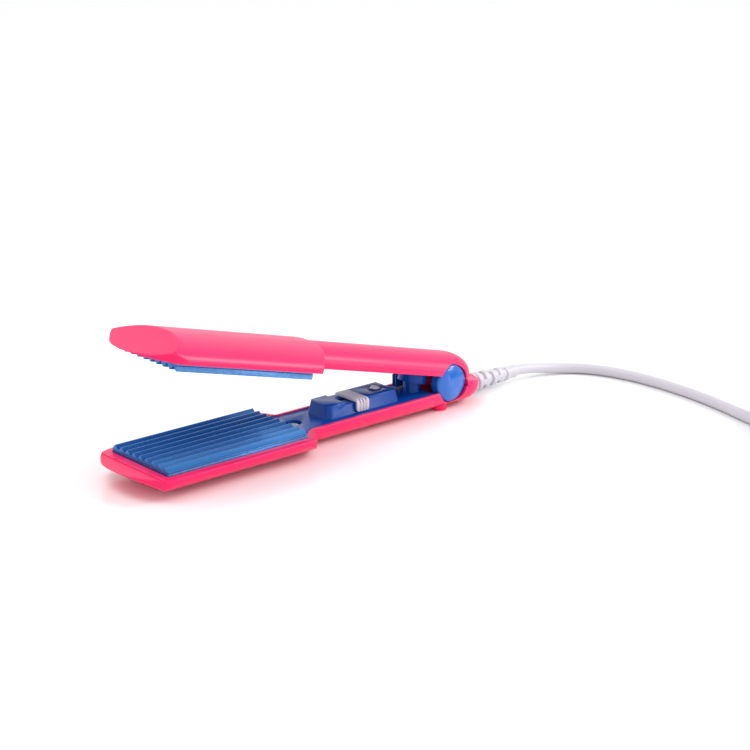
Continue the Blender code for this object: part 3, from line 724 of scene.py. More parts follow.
@dataclass(frozen=True)
class Palette:
    """Every finish on the object, each named for its piece."""

    # The plastics' lighter edge colours are partly wear, partly a painted edge highlight.
    shell: MouldedPlastic = MouldedPlastic(
        "pink_shell", (0.9, 0.005, 0.118), (0.87, 0.004, 0.108), 0.3, 0.06, 0.000005, 0.0, 0.32,
        wear_and_highlight_colour=(1.0, 0.14, 0.32), wear_and_highlight_amount=0.6, specular=0.36)
    cover: MouldedPlastic = MouldedPlastic(
        "blue_cover", (0.002, 0.055, 0.32), (0.003, 0.062, 0.35), 0.2, 0.06, 0.000003, 0.0, 0.05,
        wear_and_highlight_colour=(0.05, 0.2, 0.6), wear_and_highlight_amount=0.4, specular=0.22)
    cap: MouldedPlastic = MouldedPlastic(
        "blue_cap", (0.004, 0.11, 0.5), (0.006, 0.12, 0.53), 0.1, 0.05, 0.000003, 0.3, 0.04,
        wear_and_highlight_colour=(0.05, 0.25, 0.65), wear_and_highlight_amount=0.3)
    knob: MouldedPlastic = MouldedPlastic(
        "pale_knob", (0.62, 0.57, 0.62), (0.57, 0.53, 0.58), 0.4, 0.1, 0.00001, wear_and_highlight_colour=(0.75, 0.72, 0.74))
    lens: MouldedPlastic = MouldedPlastic(
        "pale_lens", (0.98, 0.92, 0.96), (0.95, 0.88, 0.93), 0.15, 0.06, 0.000003, 0.2, 0.05, subsurface=0.2)
    # The dark ring round the lens is painted shade for the recess that it sits in.
    bezel: MouldedPlastic = MouldedPlastic(
        "dark_bezel", (0.006, 0.02, 0.08), (0.008, 0.024, 0.09), 0.3, 0.1)
    cord: MouldedPlastic = MouldedPlastic(
        "pale_cord", (0.56, 0.54, 0.6), (0.52, 0.5, 0.56), 0.38, 0.12, 0.00002, grain_scale=1500.0,
        subsurface=0.15, wear_and_highlight_colour=(0.78, 0.77, 0.8))
    dark: MouldedPlastic = MouldedPlastic(
        "black_plastic", (0.02, 0.02, 0.021), (0.03, 0.03, 0.031), 0.5, 0.15, 0.00003)
    film: MouldedPlastic = MouldedPlastic(
        "heater_film", (0.55, 0.27, 0.03), (0.45, 0.2, 0.02), 0.2, 0.15, 0.00002, 0.5)
    fuse: MouldedPlastic = MouldedPlastic(
        "fuse_body", (0.72, 0.69, 0.6), (0.62, 0.58, 0.5), 0.5, 0.2, 0.00003)
    led: MouldedPlastic = MouldedPlastic("led", (0.75, 0.06, 0.04), (0.65, 0.04, 0.03), 0.1, 0.05, coat=0.5)
    # The light blue on the plate's ridge crests is a painted highlight.
    plate: DrawnMetal = DrawnMetal(
        "anodised_plate", (0.02, 0.15, 0.44), (0.026, 0.17, 0.48), 0.2, 0.12, 0.6, 700.0, 0.00002,
        wear_and_highlight_amount=0.8, bare_edge_and_sheen=(0.35, 0.6, 0.9))
    steel: DrawnMetal = DrawnMetal("spring_steel", (0.56, 0.57, 0.6), (0.5, 0.5, 0.52), 0.2, 0.16)
    screw: DrawnMetal = DrawnMetal("zinc_screw", (0.72, 0.73, 0.72), (0.64, 0.65, 0.62), 0.22, 0.18, wear_and_highlight_amount=0.6)
    pin: DrawnMetal = DrawnMetal("nickel_pin", (0.74, 0.71, 0.64), (0.66, 0.62, 0.54), 0.18, 0.14)
    sleeve: WovenSleeve = WovenSleeve()
    board: CircuitBoard = CircuitBoard()

    def build(self) -> dict[str, Material]:
        """Makes every material, by field name."""
        return {name: getattr(self, name).build() for name in self.__dataclass_fields__}


# --- arms ------------------------------------------------------------------------------------------------


def plan_arc(corner_x: float, corner_y: float, apex_x: float, steps: int) -> list[tuple[float, float]]:
    """Plan arc from (corner_x, -corner_y) over (apex_x, 0) to (corner_x, corner_y)."""
    rise = abs(apex_x - corner_x)
    radius = (rise**2 + corner_y**2) / (2 * rise)
    way = 1 if apex_x > corner_x else -1
    most = math.asin(corner_y / radius)
    angles = [most * (2 * i / steps - 1) for i in range(steps + 1)]
    return [(apex_x + way * radius * (math.cos(a) - 1), radius * math.sin(a)) for a in angles]


def soft_min(first: float, second: float, reach: float) -> float:
    """The smaller of two numbers, blended smoothly where they are nearer than reach."""
    share = max(reach - abs(first - second), 0.0) / reach
    return min(first, second) - share * share * reach / 4


@dataclass
class Casing:
    """One arm's pink shell, in arm coordinates and in the lower arm's sense until it is placed.

    Attributes:
        arm: Which arm it belongs to.
        material: The shell's finish.
        rear_from: Where its rear end starts to round off.
        rear_length: How long the rounded rear end is.
        rim: How far the rims stand from the parting plane.
        head_half: Half the head's width.
        head_depth: The head's depth below its rim.
        handle_half: Half the handle's width.
        handle_depth: The handle's depth below its rim.
        band: The height of the upright band below a rim.
        wall: The shell's thickness.
        tip: The tip's furthest point.
        tip_corner: Where the tip's curve meets the straight side, in plan.
        end: The end of the head at its crown.
        end_corner: The end of the head at its rim.
        facet: Where the tip's facet is, its depth there and its slope.
        lip: The radius of the rims' outer edge.
        knee: The radius between the tip's upright wall and its facet.
        crown_knee: The radius between the crown and the head's end.
        crown_flat: How far the crown's very top is flattened.
        scoop: The middle, half length and depth of the hollow in the facet.
        spine: The ends of the line that the head's outline is drawn in to.
        seat: The radius of the round seats of the caps.
    """

    arm: Arm
    material: Material
    rear_from: float
    rear_length: float
    rim: float = 3.1 * MM
    head_half: float = 25.8 * MM
    head_depth: float = 10.62 * MM
    handle_half: float = 14.0 * MM
    handle_depth: float = 10.1 * MM
    band: float = 1.7 * MM
    wall: float = 1.7 * MM
    tip: float = -186.0 * MM
    tip_corner: tuple[float, float] = (-175.0 * MM, 25.0 * MM)
    end: float = -84.0 * MM
    end_corner: float = -94.2 * MM
    facet: Triple = (-172.0 * MM, 7.8 * MM, 0.52)
    lip: float = 0.5 * MM
    knee: float = 0.9 * MM
    crown_knee: float = 0.35 * MM
    crown_flat: float = 0.12 * MM
    scoop: Triple = (-177.0 * MM, 13.0 * MM, 0.55 * MM)
    spine: tuple[float, float] = (-160.0 * MM, -104.0 * MM)
    seat: float = 9.3 * MM

    def inside(self, x: float, y: float) -> tuple[float, float]:
        """How far a place in plan is inside the tip's and the head end's curves.

        Args:
            x: Along the arm.
            y: Across the arm.

        Returns:
            The distance from the tip's curve and from the end's curve, large where a curve is far off.
        """
        distances = []
        for corner, half, apex in ((*self.tip_corner, self.tip), (self.end_corner, self.head_half, self.end)):
            rise = abs(apex - corner)
            radius = (rise**2 + half**2) / (2 * rise)
            centre = apex + radius * (1 if apex < corner else -1)
            beyond = x > -150 * MM if apex < corner else x < -124 * MM
            distances.append(1.0 if beyond else max(0.0, radius - math.hypot(x - centre, y)))
        return distances[0], distances[1]

    def depth_at(self, x: float, y: float) -> float:
        """How deep the head's outer surface lies below the rim, by trough, facet and rounded edges."""
        arch = max(0.0, 1 - (y / self.head_half) ** 2) ** 0.6
        trough = self.band + (self.head_depth - self.band) * arch
        place, depth, slope = self.facet
        middle, half, deepest = self.scoop
        scoop = deepest * max(0.0, 1 - ((x - middle) / half) ** 2)
        full = soft_min(trough, depth - scoop + slope * (x - place), 0.5 * MM)
        full = soft_min(full, self.head_depth - self.crown_flat, self.crown_flat)
        for distance, most in zip(self.inside(x, y), (self.knee, self.crown_knee)):
            radius = min(most, 0.45 * full)
            if distance < radius:
                full += math.sqrt(radius**2 - (radius - distance) ** 2) - radius
        return full

    def outline(self) -> list[Vector]:
        """Half the head's plan outline, from the tip over +Y to the end of the crown."""
        tip = plan_arc(self.tip_corner[0], self.tip_corner[1], self.tip, 96)[48:]
        side = [(x * MM, self.head_half) for x in np.arange(-171.5, -95.5, 0.5)]
        end = plan_arc(self.end_corner, self.head_half, self.end, 72)[36:]
        dense = [Vector(p) for p in [*tip, *side, *reversed(end)]]
        rounded = []
        for point in dense:
            if -182 * MM < point.x < -167 * MM:
                near = [q for q in dense if (q - point).length < 2.4 * MM]
                weights = [1 - (q - point).length / (2.5 * MM) for q in near]
                point = sum((q * w for q, w in zip(near, weights)), Vector((0, 0))) / sum(weights)
            rounded.append(point)
        return [p for i, p in enumerate(rounded) if not -163 * MM < p.x < -97 * MM or i % 6 == 0]

    def head(self) -> Object:
        """The solid head, as rays from its outline to the spine over the top and over the crown."""
        half = self.outline()
        around = [*half, *[Vector((p.x, -p.y)) for p in reversed(half[1:-1])]]
        rings = []
        for p in around:
            spine = Vector((min(max(p.x, self.spine[0]), self.spine[1]), 0))
            ray = spine - p
            length = ray.length
            side = self.depth_at(p.x, p.y)
            lip = min(self.lip, 0.45 * side)
            ring = [(*(p + ray * f), -self.rim) for f in (1.0, 0.6, 0.25)]
            for i in range(6):
                turn = QUARTER * i / 5
                place = p + ray * (lip * (1 - math.sin(turn)) / length)
                ring.append((*place, -self.rim - lip * (1 - math.cos(turn))))
            ring += [(*p, -self.rim - lip - (side - lip) * i / 4) for i in (1, 2, 3, 4)]
            for i in range(1, 45):
                place = p + ray * (1 - math.cos(QUARTER * i / 44))
                ring.append((*place, -self.rim - self.depth_at(*place)))
            rings.append(ring)
        piece = grid(f"{self.arm.value}_shell", np.array([*rings, rings[0]], float), 1e-6)
        bpy.ops.mesh.normals_make_consistent(inside=False)
        leave_edit()
        return piece

    def section(self, inset: float, size: float, steps: int) -> list[Point]:
        """(y, z) of the handle's rounded trough below its rim.

        Args:
            inset: How far inside the outer surface it lies.
            size: Its size, less than 1 towards the rounded rear end.
            steps: How many steps its half ellipse has.

        Returns:
            The points, from one rim corner to the other, with rounded lips on the outer surface.
        """
        half, depth = (self.handle_half - inset) * size, (self.handle_depth - inset) * size**0.75
        band = self.band * size
        lip = 0.0001 * MM if inset else self.lip * size
        points = []
        for i in range(5):
            turn = QUARTER * i / 4
            points.append((-half + lip * (1 - math.sin(turn)), -self.rim - lip * (1 - math.cos(turn))))
        for i in range(steps + 1):
            angle = math.pi * i / steps
            points.append((-half * math.cos(angle), -self.rim - band - (depth - band) * math.sin(angle)))
        return [*points, *[(-y, z) for y, z in reversed(points[:5])]]

    def handle(self, inset: float, start: float, rear: tuple[float, float], steps: int) -> Object:
        """A solid handle with a full rounded rear end, or the hollow inside it.

        Args:
            inset: How far inside the outer surface it lies.
            start: The first station.
            rear: Where the rounded end starts, and its length.
            steps: How many steps the rounded end has.

        Returns:
            The body.
        """
        turns = [math.radians(87.5) * i / steps for i in range(steps + 1)]
        places = [(start, 1.0)] + [(rear[0] + rear[1] * math.sin(a), math.cos(a) ** 0.8) for a in turns]
        rings = [[(x, y, z) for y, z in self.section(inset, size, 44)] for x, size in places]
        return skin("handle", rings)

    def hollows(self) -> list[Object]:
        """The bodies that hollow the shell, open its mouth and dish its tip."""
        half, base = self.head_half - self.wall, -self.rim - self.band
        depth = self.head_depth - self.wall - self.band
        rings = []
        for x, share in ((-170.8 * MM, 0.5), (-161 * MM, 1.0), (-99 * MM, 1.0)):
            drops = [max(0.1 * MM, depth * share * math.sin(math.pi * i / 28)) for i in range(29)]
            arch = [(x, -half * math.cos(math.pi * i / 28), base - drop) for i, drop in enumerate(drops)]
            rings.append([(x, -half, base), *arch, (x, half, base)])
        hollow = skin("head_hollow", rings)
        handle = self.handle(self.wall, -103 * MM, (self.rear_from - 3 * MM, self.rear_length - 1.5 * MM), 12)
        for vertex in handle.data.vertices:
            vertex.co.z += 0.5 * MM if vertex.co.z > -self.rim - 0.1 * MM else 0.0
        wide = 21.45 * MM
        mouth = [(-172.6 * MM, -wide), (-95.5 * MM, -wide), (-95.5 * MM, -19.5 * MM), (-90 * MM, -14.6 * MM),
                 (-86 * MM, -12.4 * MM), (-80 * MM, -12.3 * MM)]
        mouth += [(x, -y) for x, y in reversed(mouth)]
        opening = prism("mouth", mouth, "Z", -6 * MM, 0)
        arc = plan_arc(-176.8 * MM, 23.4 * MM, self.tip + 1.3 * MM, 40)
        low = [(x, y, -self.rim - 0.35 * MM + 0.05 * (x + 176.8 * MM)) for x, y in arc]
        return [hollow, handle, opening, skin("dish", [[(x, y, 0.0) for x, y in arc], low])]

    def knuckles(self, shell: Object) -> None:
        """Joins on the hinge's ears or knuckle, bores them, and cuts the round seats of the caps."""
        half, ranges = (4.6, ((-7.5, -5.6), (5.6, 7.5))) if self.arm is Arm.LOWER else (4.4, ((-5.2, 5.2),))
        turns = [math.pi * i / 24 for i in range(25)]
        arch = [(half * math.cos(turn) * MM, half * math.sin(turn) * MM) for turn in turns]
        outline = [(-half * MM, -11 * MM), (half * MM, -11 * MM), *arch]
        for low, high in ranges:
            merge(shell, prism("ear", outline, "Y", low * MM, high * MM), "UNION")
        merge(shell, bar("bore", 1.8 * MM, (0, -9 * MM, 0), (0, 9 * MM, 0), 32))
        for side in (-1, 1):
            merge(shell, bar("seat", self.seat, (0, side * 7.75 * MM, 0), (0, side * 17 * MM, 0), 96))

    def rear_details(self, shell: Object) -> None:
        """Adds the lower arm's opening stop and the cord's way out."""
        rings = []
        for x in (9.5, 11.5, 13.5, 15, 16.5, 18, 19.2, 20.5, 21.4, 22):
            size = math.sqrt(1 - max(0.0, (x - 10.5) / 12.8) ** 2) ** 0.8
            half, top = self.handle_half * size, 2.55 * MM - x * MM * math.tan(OPENING)
            corner = [(half - 0.9 * MM * (1 - math.sin(a)), top - 0.9 * MM * (1 - math.cos(a)))
                      for a in (QUARTER * i / 5 for i in range(5, -1, -1))]
            outline = [(-half, -4 * MM), (half, -4 * MM), *corner, *[(-y, z) for y, z in reversed(corner)]]
            rings.append([(x * MM, y, z) for y, z in outline])
        merge(shell, skin("stop", rings), "UNION")
        merge(shell, bar("cord_way", 3.5 * MM, (10 * MM, 0, CORD_Z), (40 * MM, 0, CORD_Z), 48))

    def build(self) -> Object:
        """Makes, places and dresses the shell."""
        shell = self.head()
        merge(shell, self.handle(0.0, -100 * MM, (self.rear_from, self.rear_length), 22), "UNION")
        if self.arm is Arm.LOWER:
            for side in (-1, 1):
                x, y = -3 * MM, side * 7 * MM
                foot = bar("foot", 3.6 * MM, (x, y, FLOOR_Z), (x, y, -9.9 * MM), 48)
                round_edges(foot, 0.4 * MM, 3, 60, where=lambda place: place.z < FLOOR_Z + 0.1 * MM)
                merge(shell, foot, "UNION")
        for hollow in self.hollows():
            merge(shell, hollow)
        self.knuckles(shell)
        if self.arm is Arm.LOWER:
            self.rear_details(shell)
        fuse_close_points(shell, 0.004 * MM)
        self.arm.place(shell)
        return settle(shell, self.material, self.arm.body,
                      [f"{self.arm.value}_casing"], crease=28)


@dataclass
class HeatingPlate:
    """One arm's ridged aluminium plate.

    Attributes:
        arm: Which arm it belongs to.
        material: The anodised finish.
        pitch: From ridge to ridge.
        ridges: How many pitches the plate spans.
        peak: The ridges' height.
        valley: The valleys' height.
    """

    arm: Arm
    material: Material
    pitch: float = 4.7 * MM
    ridges: int = 9
    peak: float = 0.7 * MM
    valley: float = -1.2 * MM

    def profile(self) -> list[Point]:
        """(y, z) of the extrusion, with a fine groove along each side under the ridges."""
        half, flat = self.pitch * self.ridges / 2, 0.25 * MM
        points = []
        for i in range(2 * self.ridges + 1):
            y = -half + i * self.pitch / 2
            z = self.peak if (i % 2 == 0) == (self.arm is Arm.UPPER) else self.valley
            points += [(y + shift if abs(y + shift) <= half else y, z) for shift in (-flat, flat)]
        points = list(dict.fromkeys(points))
        groove, skirt, wall = self.valley - 0.55 * MM, self.valley - 4.2 * MM, 1.7 * MM
        cut = 0.28 * MM
        side = [(half, groove), (half - cut, groove), (half - cut, groove - cut), (half, groove - cut)]
        below = [(half, skirt), (half - wall, skirt), (half - wall, self.valley - 2.2 * MM)]
        right = [*side, *below]
        return [*points, *right, *[(-y, z) for y, z in reversed(right)]]

    def build(self) -> Object:
        """Makes, places and dresses the plate."""
        plate = prism(f"{self.arm.value}_ridged_plate", self.profile(), "X", -172.3 * MM, -95.8 * MM)
        round_edges(plate, 0.12 * MM, 2, 30)
        self.arm.place(plate)
        return settle(plate, self.material, self.arm.body,
                      [f"{self.arm.value}_plate"], crease=30)


@dataclass
class InnerCover:
    """One arm's glossy inner cover, with its cross-recess screw.

    Attributes:
        arm: Which arm it belongs to.
        finish: The cover's gloss plastic.
        zinc: The screw's finish.
    """

    arm: Arm
    finish: Material
    zinc: Material

    def cover(self) -> Object:
        """The cover with every moulded edge rounded."""
        node = f"{self.arm.value}_inner_cover"
        piece = copy_of(node, f"{self.arm.value}_gloss_cover")
        if self.arm is Arm.LOWER:
            round_edges(piece, 0.75 * MM, 4, 30, where=self.on_housing)
        round_edges(piece, 0.15 * MM, 2, 50)
        return settle(piece, self.finish, self.arm.body, [node], crease=32)

    @staticmethod
    def on_housing(place: Vector) -> bool:
        """Whether a place is on an outer edge of the switch housing, clear of the knob's recess."""
        x, y, z = (place - HINGE) / MM
        outer = abs(y) > 7.1 or x < -71.9 or x > -31.4
        return -73.6 < x < -30.1 and z > -3.3 and outer and not -62.5 < x < -48.9

    def screw(self) -> Object:
        """The pan-head screw: a spun head with a cross recess."""
        head = [(0, -5.0), (0.6, -5.0), (1.25, -4.4), (1.25, 0), (2.75, 0), (2.9, 0.2), (2.9, 0.7),
                (2.7, 1.15), (2.2, 1.5), (1.4, 1.66), (0, 1.7)]
        piece = lathe(f"{self.arm.value}_cross_screw", head, Matrix(), 40)
        for turn in (0.0, QUARTER):
            slot = prism("slot", [(-1.9 * MM, 2.4 * MM), (1.9 * MM, 2.4 * MM), (0.5 * MM, 0.35 * MM),
                                  (-0.5 * MM, 0.35 * MM)], "Y", -0.36 * MM, 0.36 * MM)
            slot.data.transform(Matrix.Rotation(turn + 0.35, 4, "Z"))
            merge(piece, slot)
        round_edges(piece, 0.07 * MM, 2, 40)
        self.arm.place(piece, Matrix.Translation(COVER_SCREW))
        return settle(piece, self.zinc, self.arm.body,
                      [f"{self.arm.value}_cover_screw"], crease=35)

    def build(self) -> None:
        """Makes both pieces."""
        self.cover()
        self.screw()


# --- switch ----------------------------------------------------------------------------------------------


@dataclass
class Switch:
    """The slide switch's saddle knob, the indicator's lens, and a dark ring round the lens that is painted
    shade in its recess.

    Attributes:
        knob_finish: The knob's plastic.
        lens_finish: The lens's plastic.
        bezel_finish: The dark ring's colour, painted shade for the recess round the lens.
        middle: The knob's middle, from the hinge axis.
        length: The knob's length.
        top: The knob's highest point.
        lamp: The lens's middle, from the hinge axis.
    """

    knob_finish: Material
    lens_finish: Material
    bezel_finish: Material
    middle: float = -53.1 * MM
    length: float = 7.4 * MM
    top: float = 3.1 * MM
    lamp: float = -38.0 * MM

    def knob(self) -> Object:
        """The knob: flush in the housing's top, bent over its near side, with three grooves on its tab."""
        low, near, far = -2.8 * MM, -9.7 * MM, 6.4 * MM
        piece = block("slide_knob", (-self.length / 2, near, low), (self.length / 2, far, self.top))
        round_edges(piece, 1.9 * MM, 6, 30, where=lambda p: abs(p.y - near) < 1e-6 and p.z > self.top - 1e-6)
        at_end = self.length / 2 - 1e-6
        round_edges(piece, 1.6 * MM, 5, 60, where=lambda p: abs(p.x) > at_end and p.z < low + 1e-6)
        merge(piece, block("saddle", (-6 * MM, -8.4 * MM, -6 * MM), (6 * MM, 12 * MM, 1.9 * MM)))
        for i in (-1, 0, 1):
            x = i * 1.75 * MM
            foot, bend, head = ((x, near - 0.1 * MM, -5 * MM), (x, near - 0.1 * MM, 1.4 * MM),
                                (x, near + 2.1 * MM, 3.75 * MM))
            merge(piece, bar("groove", 0.42 * MM, foot, bend, 20))
            merge(piece, bar("groove", 0.42 * MM, bend, head, 20))
        round_edges(piece, 0.2 * MM, 2, 50)
        merge(piece, bar("stem", 1.2 * MM, (0, 0, -3.8 * MM), (0, 0, 2.5 * MM), 24), "UNION")
        piece.data.transform(Matrix.Translation(HINGE + Vector((self.middle, 0, 0))))
        return settle(piece, self.knob_finish, "switch_slider", ["switch_knob"], crease=34)

    def lens(self) -> Object:
        """The lens: a low dome on a flanged stem."""
        turns = [QUARTER * i / 10 for i in range(10)]
        dome = [(2.35 * math.cos(a), 2.75 + 1.05 * math.sin(a)) for a in turns]
        profile = [(0, -0.9), (3.0, -0.9), (3.0, -0.25), (2.35, -0.2), *dome, (0, 3.8)]
        place = Matrix.Translation(HINGE + Vector((self.lamp, 0, 0)))
        piece = lathe("lamp_lens", profile, place, 48)
        return settle(piece, self.lens_finish, "lower_arm", ["indicator_lens"])

    def bezel(self) -> Object:
        """The thin ring that the lens sits in, dark as painted shade for the recess round the lens."""
        section = ((2.42, 2.2), (3.25, 2.2), (3.25, 2.95), (3.0, 3.08), (2.6, 3.0), (2.42, 2.8))
        rings = []
        for i in range(56):
            a = 2 * math.pi * i / 56
            rings.append([(math.cos(a) * r * MM, math.sin(a) * r * MM, z * MM) for r, z in section])
        piece = skin("lamp_bezel", rings, closed=True)
        piece.data.transform(Matrix.Translation(HINGE + Vector((self.lamp, 0, 0))))
        return settle(piece, self.bezel_finish, "lower_arm")

    def build(self) -> None:
        """Makes the three pieces."""
        self.knob()
        self.lens()
        self.bezel()


# --- hinge -----------------------------------------------------------------------------------------------


@dataclass
class Hinge:
    """The hinge's two domed caps, its spring and the wire guide beside it.

    Attributes:
        cap_finish: The caps' gloss plastic.
        cover_finish: The wire guide's plastic.
        steel: The spring's finish.
        radius: The caps' radius.
        inner: How far the caps' backs are from the middle.
    """

    cap_finish: Material
    cover_finish: Material
    steel: Material
    radius: float = 9.0 * MM
    inner: float = 7.95 * MM

    def cap(self, side: int, label: str) -> Object:
        """One cap: a spun disc with a rounded shoulder and a low dome."""
        edge, shoulder = self.radius / MM, 1.5
        flat, face = edge - shoulder, 4.9
        profile = [(0, 0), (edge - 0.2, 0), (edge, 0.2), (edge, face - shoulder)]
        for i in range(1, 10):
            a = math.radians(78) * i / 9
            profile.append((flat + shoulder * math.cos(a), face - shoulder + shoulder * math.sin(a)))
        start, height = profile[-1]
        for i in range(1, 15):
            share = 1 - i / 14
            profile.append((start * share, height + (5.98 - height) * (1 - share**2)))
        place = Matrix.Translation(HINGE + Vector((0, side * self.inner, 0)))
        place = place @ Matrix.Rotation(-side * QUARTER, 4, "X")
        piece = lathe(f"domed_cap_{label}", profile, place, 96)
        return settle(piece, self.cap_finish, "lower_arm", [f"hinge_cap_{label}"])

    def spring(self) -> Object:
        """The coiled spring, closed at both ends."""
        wire, mean, turns, steps = 0.35 * MM, 2.4 * MM, 6.0, 30
        low, high = 11.0 * MM, 20.2 * MM
        middle = Vector((HINGE.x + SPRING_X, 0, 0))
        rings = []
        count = int(turns * steps)
        for i in range(count + 1):
            share = i / count
            rise = min(max((share - 0.12) / 0.76, 0.0), 1.0)
            angle = 2 * math.pi * turns * share
            height = low + (high - low) * rise
            centre = middle + Vector((mean * math.cos(angle), mean * math.sin(angle), height))
            out = Vector((math.cos(angle), math.sin(angle), 0))
            ring = [centre + wire * (out * math.cos(a) + Vector((0, 0, math.sin(a))))
                    for a in (2 * math.pi * j / 12 for j in range(12))]
            rings.append(ring)
        piece = skin("coil_spring", rings)
        settle(piece, self.steel, "lower_arm", ["return_spring"], crease=50)
        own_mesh(piece)
        return piece

    def guide(self) -> Object:
        """The upright guide that leads the upper arm's wires past the hinge."""
        piece = copy_of("wire_guide", "wire_post")
        round_edges(piece, 0.25 * MM, 3, 30)
        return settle(piece, self.cover_finish, "lower_arm", ["wire_guide"], crease=35)

    def build(self) -> None:
        """Makes every piece."""
        self.cap(-1, "near")
        self.cap(1, "far")
        self.spring()
        self.guide()


# --- cord ------------------------------------------------------------------------------------------------


def smooth_path(points: Sequence[Point], spacing: float) -> list[Vector]:
    """Even steps along a smooth curve through the points.

    Args:
        points: The points that it passes through.
        spacing: About how far apart the steps are.

    Returns:
        The places, both ends among them.
    """
    given = [Vector(p) for p in points]
    ends = [2 * given[0] - given[1], *given, 2 * given[-1] - given[-2]]
    fine = []
    for a, b, c, d in zip(ends, ends[1:], ends[2:], ends[3:]):
        for i in range(16):
            t = i / 16
            fine.append(0.5 * (2 * b + (c - a) * t + (2 * a - 5 * b + 4 * c - d) * t**2
                               + (3 * b - a - 3 * c + d) * t**3))
    fine.append(given[-1])
    walked = np.concatenate([[0.0], np.cumsum([(q - p).length for p, q in zip(fine, fine[1:])])])
    targets = np.linspace(0, walked[-1], max(2, round(walked[-1] / spacing)) + 1)
    columns = [np.interp(targets, walked, [p[k] for p in fine]) for k in range(3)]
    return [Vector(p) for p in np.column_stack(columns)]


